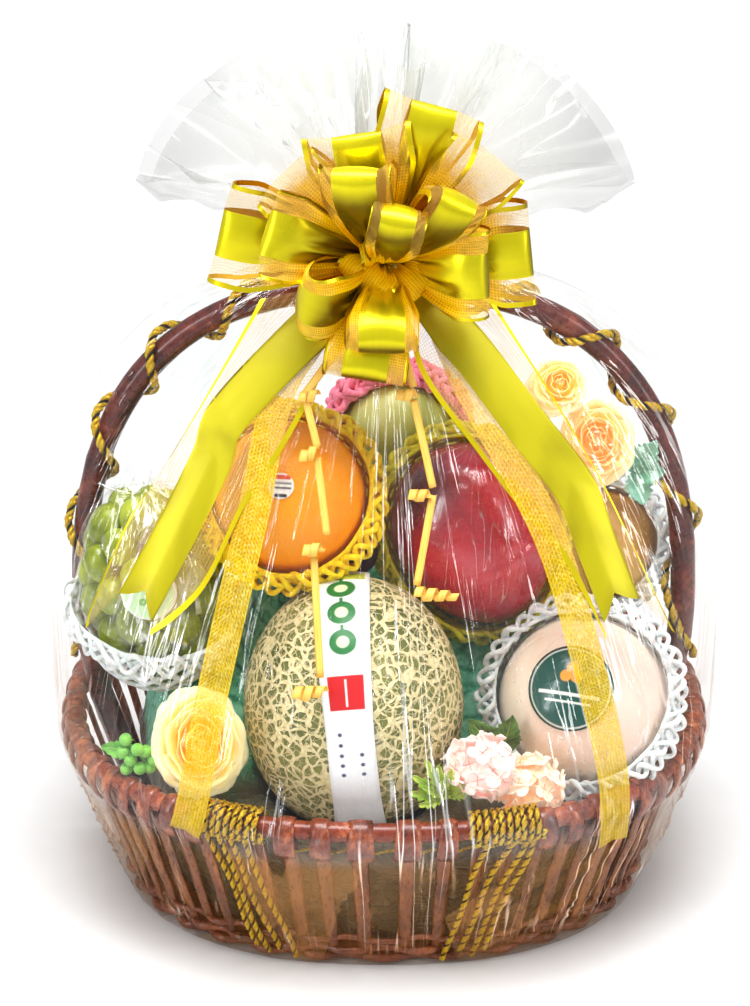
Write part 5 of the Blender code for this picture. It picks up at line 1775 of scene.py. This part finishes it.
BAND_WIDE = 0.0196
BANDS = [
    ("organza_left", [(-0.030, 0.414, 0.003), (-0.064, 0.377, 0.0015), (-0.083, 0.302, 0.0014),
                      (-0.107, 0.205, 0.0014), (-0.120, 0.140, 0.0016), (-0.127, 0.112, 0.002)]),
    ("organza_right", [(0.030, 0.412, 0.003), (0.060, 0.365, 0.0016), (0.103, 0.292, 0.0014),
                       (0.131, 0.205, 0.0016), (0.144, 0.150, 0.002), (0.1465, 0.118, 0.004),
                       (0.147, 0.092, 0.0035)]),
]
glitter_gauze = sheer_finish("glitter_gauze", tone(200, 164, 14), tone(228, 196, 40),
                             lambda tree: spots(tree, object_place(tree), 120.0, 3.0), 0.42, 0.72,
                             glitter=0.5)
for node, stops in BANDS:

    def where(u, v):
        side = 2 * u - 1
        x, z, lift, cross = path_place(stops, v * (1 - 0.045 * (1 - abs(side))))
        shift = side * BAND_WIDE / 2 * min(1.0, 0.5 + v * 4)
        return film_front(x + cross.x * shift, z + cross.y * shift,
                          lift + 0.0006 * (1 + sin(v * 21 + side * 2)))

    flat = (BAND_WIDE, path_length(stops))
    piece = show(f"gauze_{node}", face_away(grid(10, 96, where, size=flat), INSIDE), glitter_gauze,
                 "organza", node)

# ---------------------------------------------------------------- curled ribbons
# Two narrow paper ribbons, drawn over a blade so that they fall in straight runs
# between small tight rolls.

curl_paper, tree, shader = finish_of("curl_paper", Roughness=0.45)
rib = spots(tree, stretched(tree, flat_place(tree), (1600.0, 40.0, 1.0)), 1.0, 2.0)
wear(tree, shader, Base_Color=ramp(tree, rib, (0.3, tone(226, 172, 66)), (0.7, tone(252, 216, 118))))
relief(tree, shader, rib, 0.0002)


CURL_WIDE = 0.0048
ROLL_WIDE = 0.0050
CURL_LONG = 0.05


def straight_run(whole, a, b):
    """A flat stretch between two stops of width, height and distance off the film."""

    def where(u, v):
        x, z, lift = Vector(a).lerp(Vector(b), v)
        run = Vector((b[0] - a[0], b[1] - a[1])).normalized()
        shift = (u - 0.5) * CURL_WIDE
        return film_front(x + run.y * shift, z - run.x * shift, lift + 0.0005 * sin(pi * u))

    join(whole, grid(4, 14, where, size=(CURL_WIDE, CURL_LONG)))


def roll(whole, x, z, lift, radius, turns, drift):
    """A tight roll lying across the film, its coils drifting sideways."""
    middle = film_front(x, z, lift + radius)

    def where(u, v):
        swing = tau * turns * v
        reach = radius * (0.72 + 0.28 * cos(v * 2.0))
        return middle + Vector(((v - 0.5) * drift[0] + (u - 0.5) * ROLL_WIDE, -cos(swing) * reach,
                                (v - 0.5) * drift[1] + sin(swing) * reach))

    join(whole, grid(4, int(28 * turns), where, size=(ROLL_WIDE, CURL_LONG)))


for node, runs, rolls in (
    ("curl_left",
     [((-0.010, 0.420, 0.006), (-0.050, 0.372, 0.004)),
      ((-0.050, 0.372, 0.004), (-0.042, 0.344, 0.003)),
      ((-0.042, 0.338, 0.003), (-0.036, 0.296, 0.003)),
      ((-0.044, 0.284, 0.003), (-0.040, 0.216, 0.003))],
     [(-0.047, 0.372, 0.002, 0.0042, 1.6, (0.010, 0.004)),
      (-0.047, 0.341, 0.002, 0.0046, 1.5, (0.008, 0.006)),
      (-0.044, 0.289, 0.002, 0.0046, 2.0, (0.010, 0.004)),
      (-0.046, 0.209, 0.002, 0.0050, 2.6, (0.018, 0.003))]),
    ("curl_right",
     [((0.004, 0.420, 0.006), (0.018, 0.376, 0.003)), ((0.018, 0.370, 0.003), (0.030, 0.322, 0.003)),
      ((0.030, 0.318, 0.003), (0.020, 0.268, 0.003))],
     [(0.014, 0.373, 0.002, 0.0042, 1.8, (0.010, 0.003)),
      (0.022, 0.319, 0.002, 0.0044, 1.8, (0.011, 0.002)),
      (0.032, 0.264, 0.002, 0.0046, 3.2, (0.024, -0.002))]),
):
    whole = new_body()
    for a, b in runs:
        straight_run(whole, a, b)
    for one in rolls:
        roll(whole, *one)
    piece = show(f"ribbon_{node}", whole, curl_paper, "organza", node)
    piece.modifiers.new("Paper", "SOLIDIFY").thickness = 0.0002
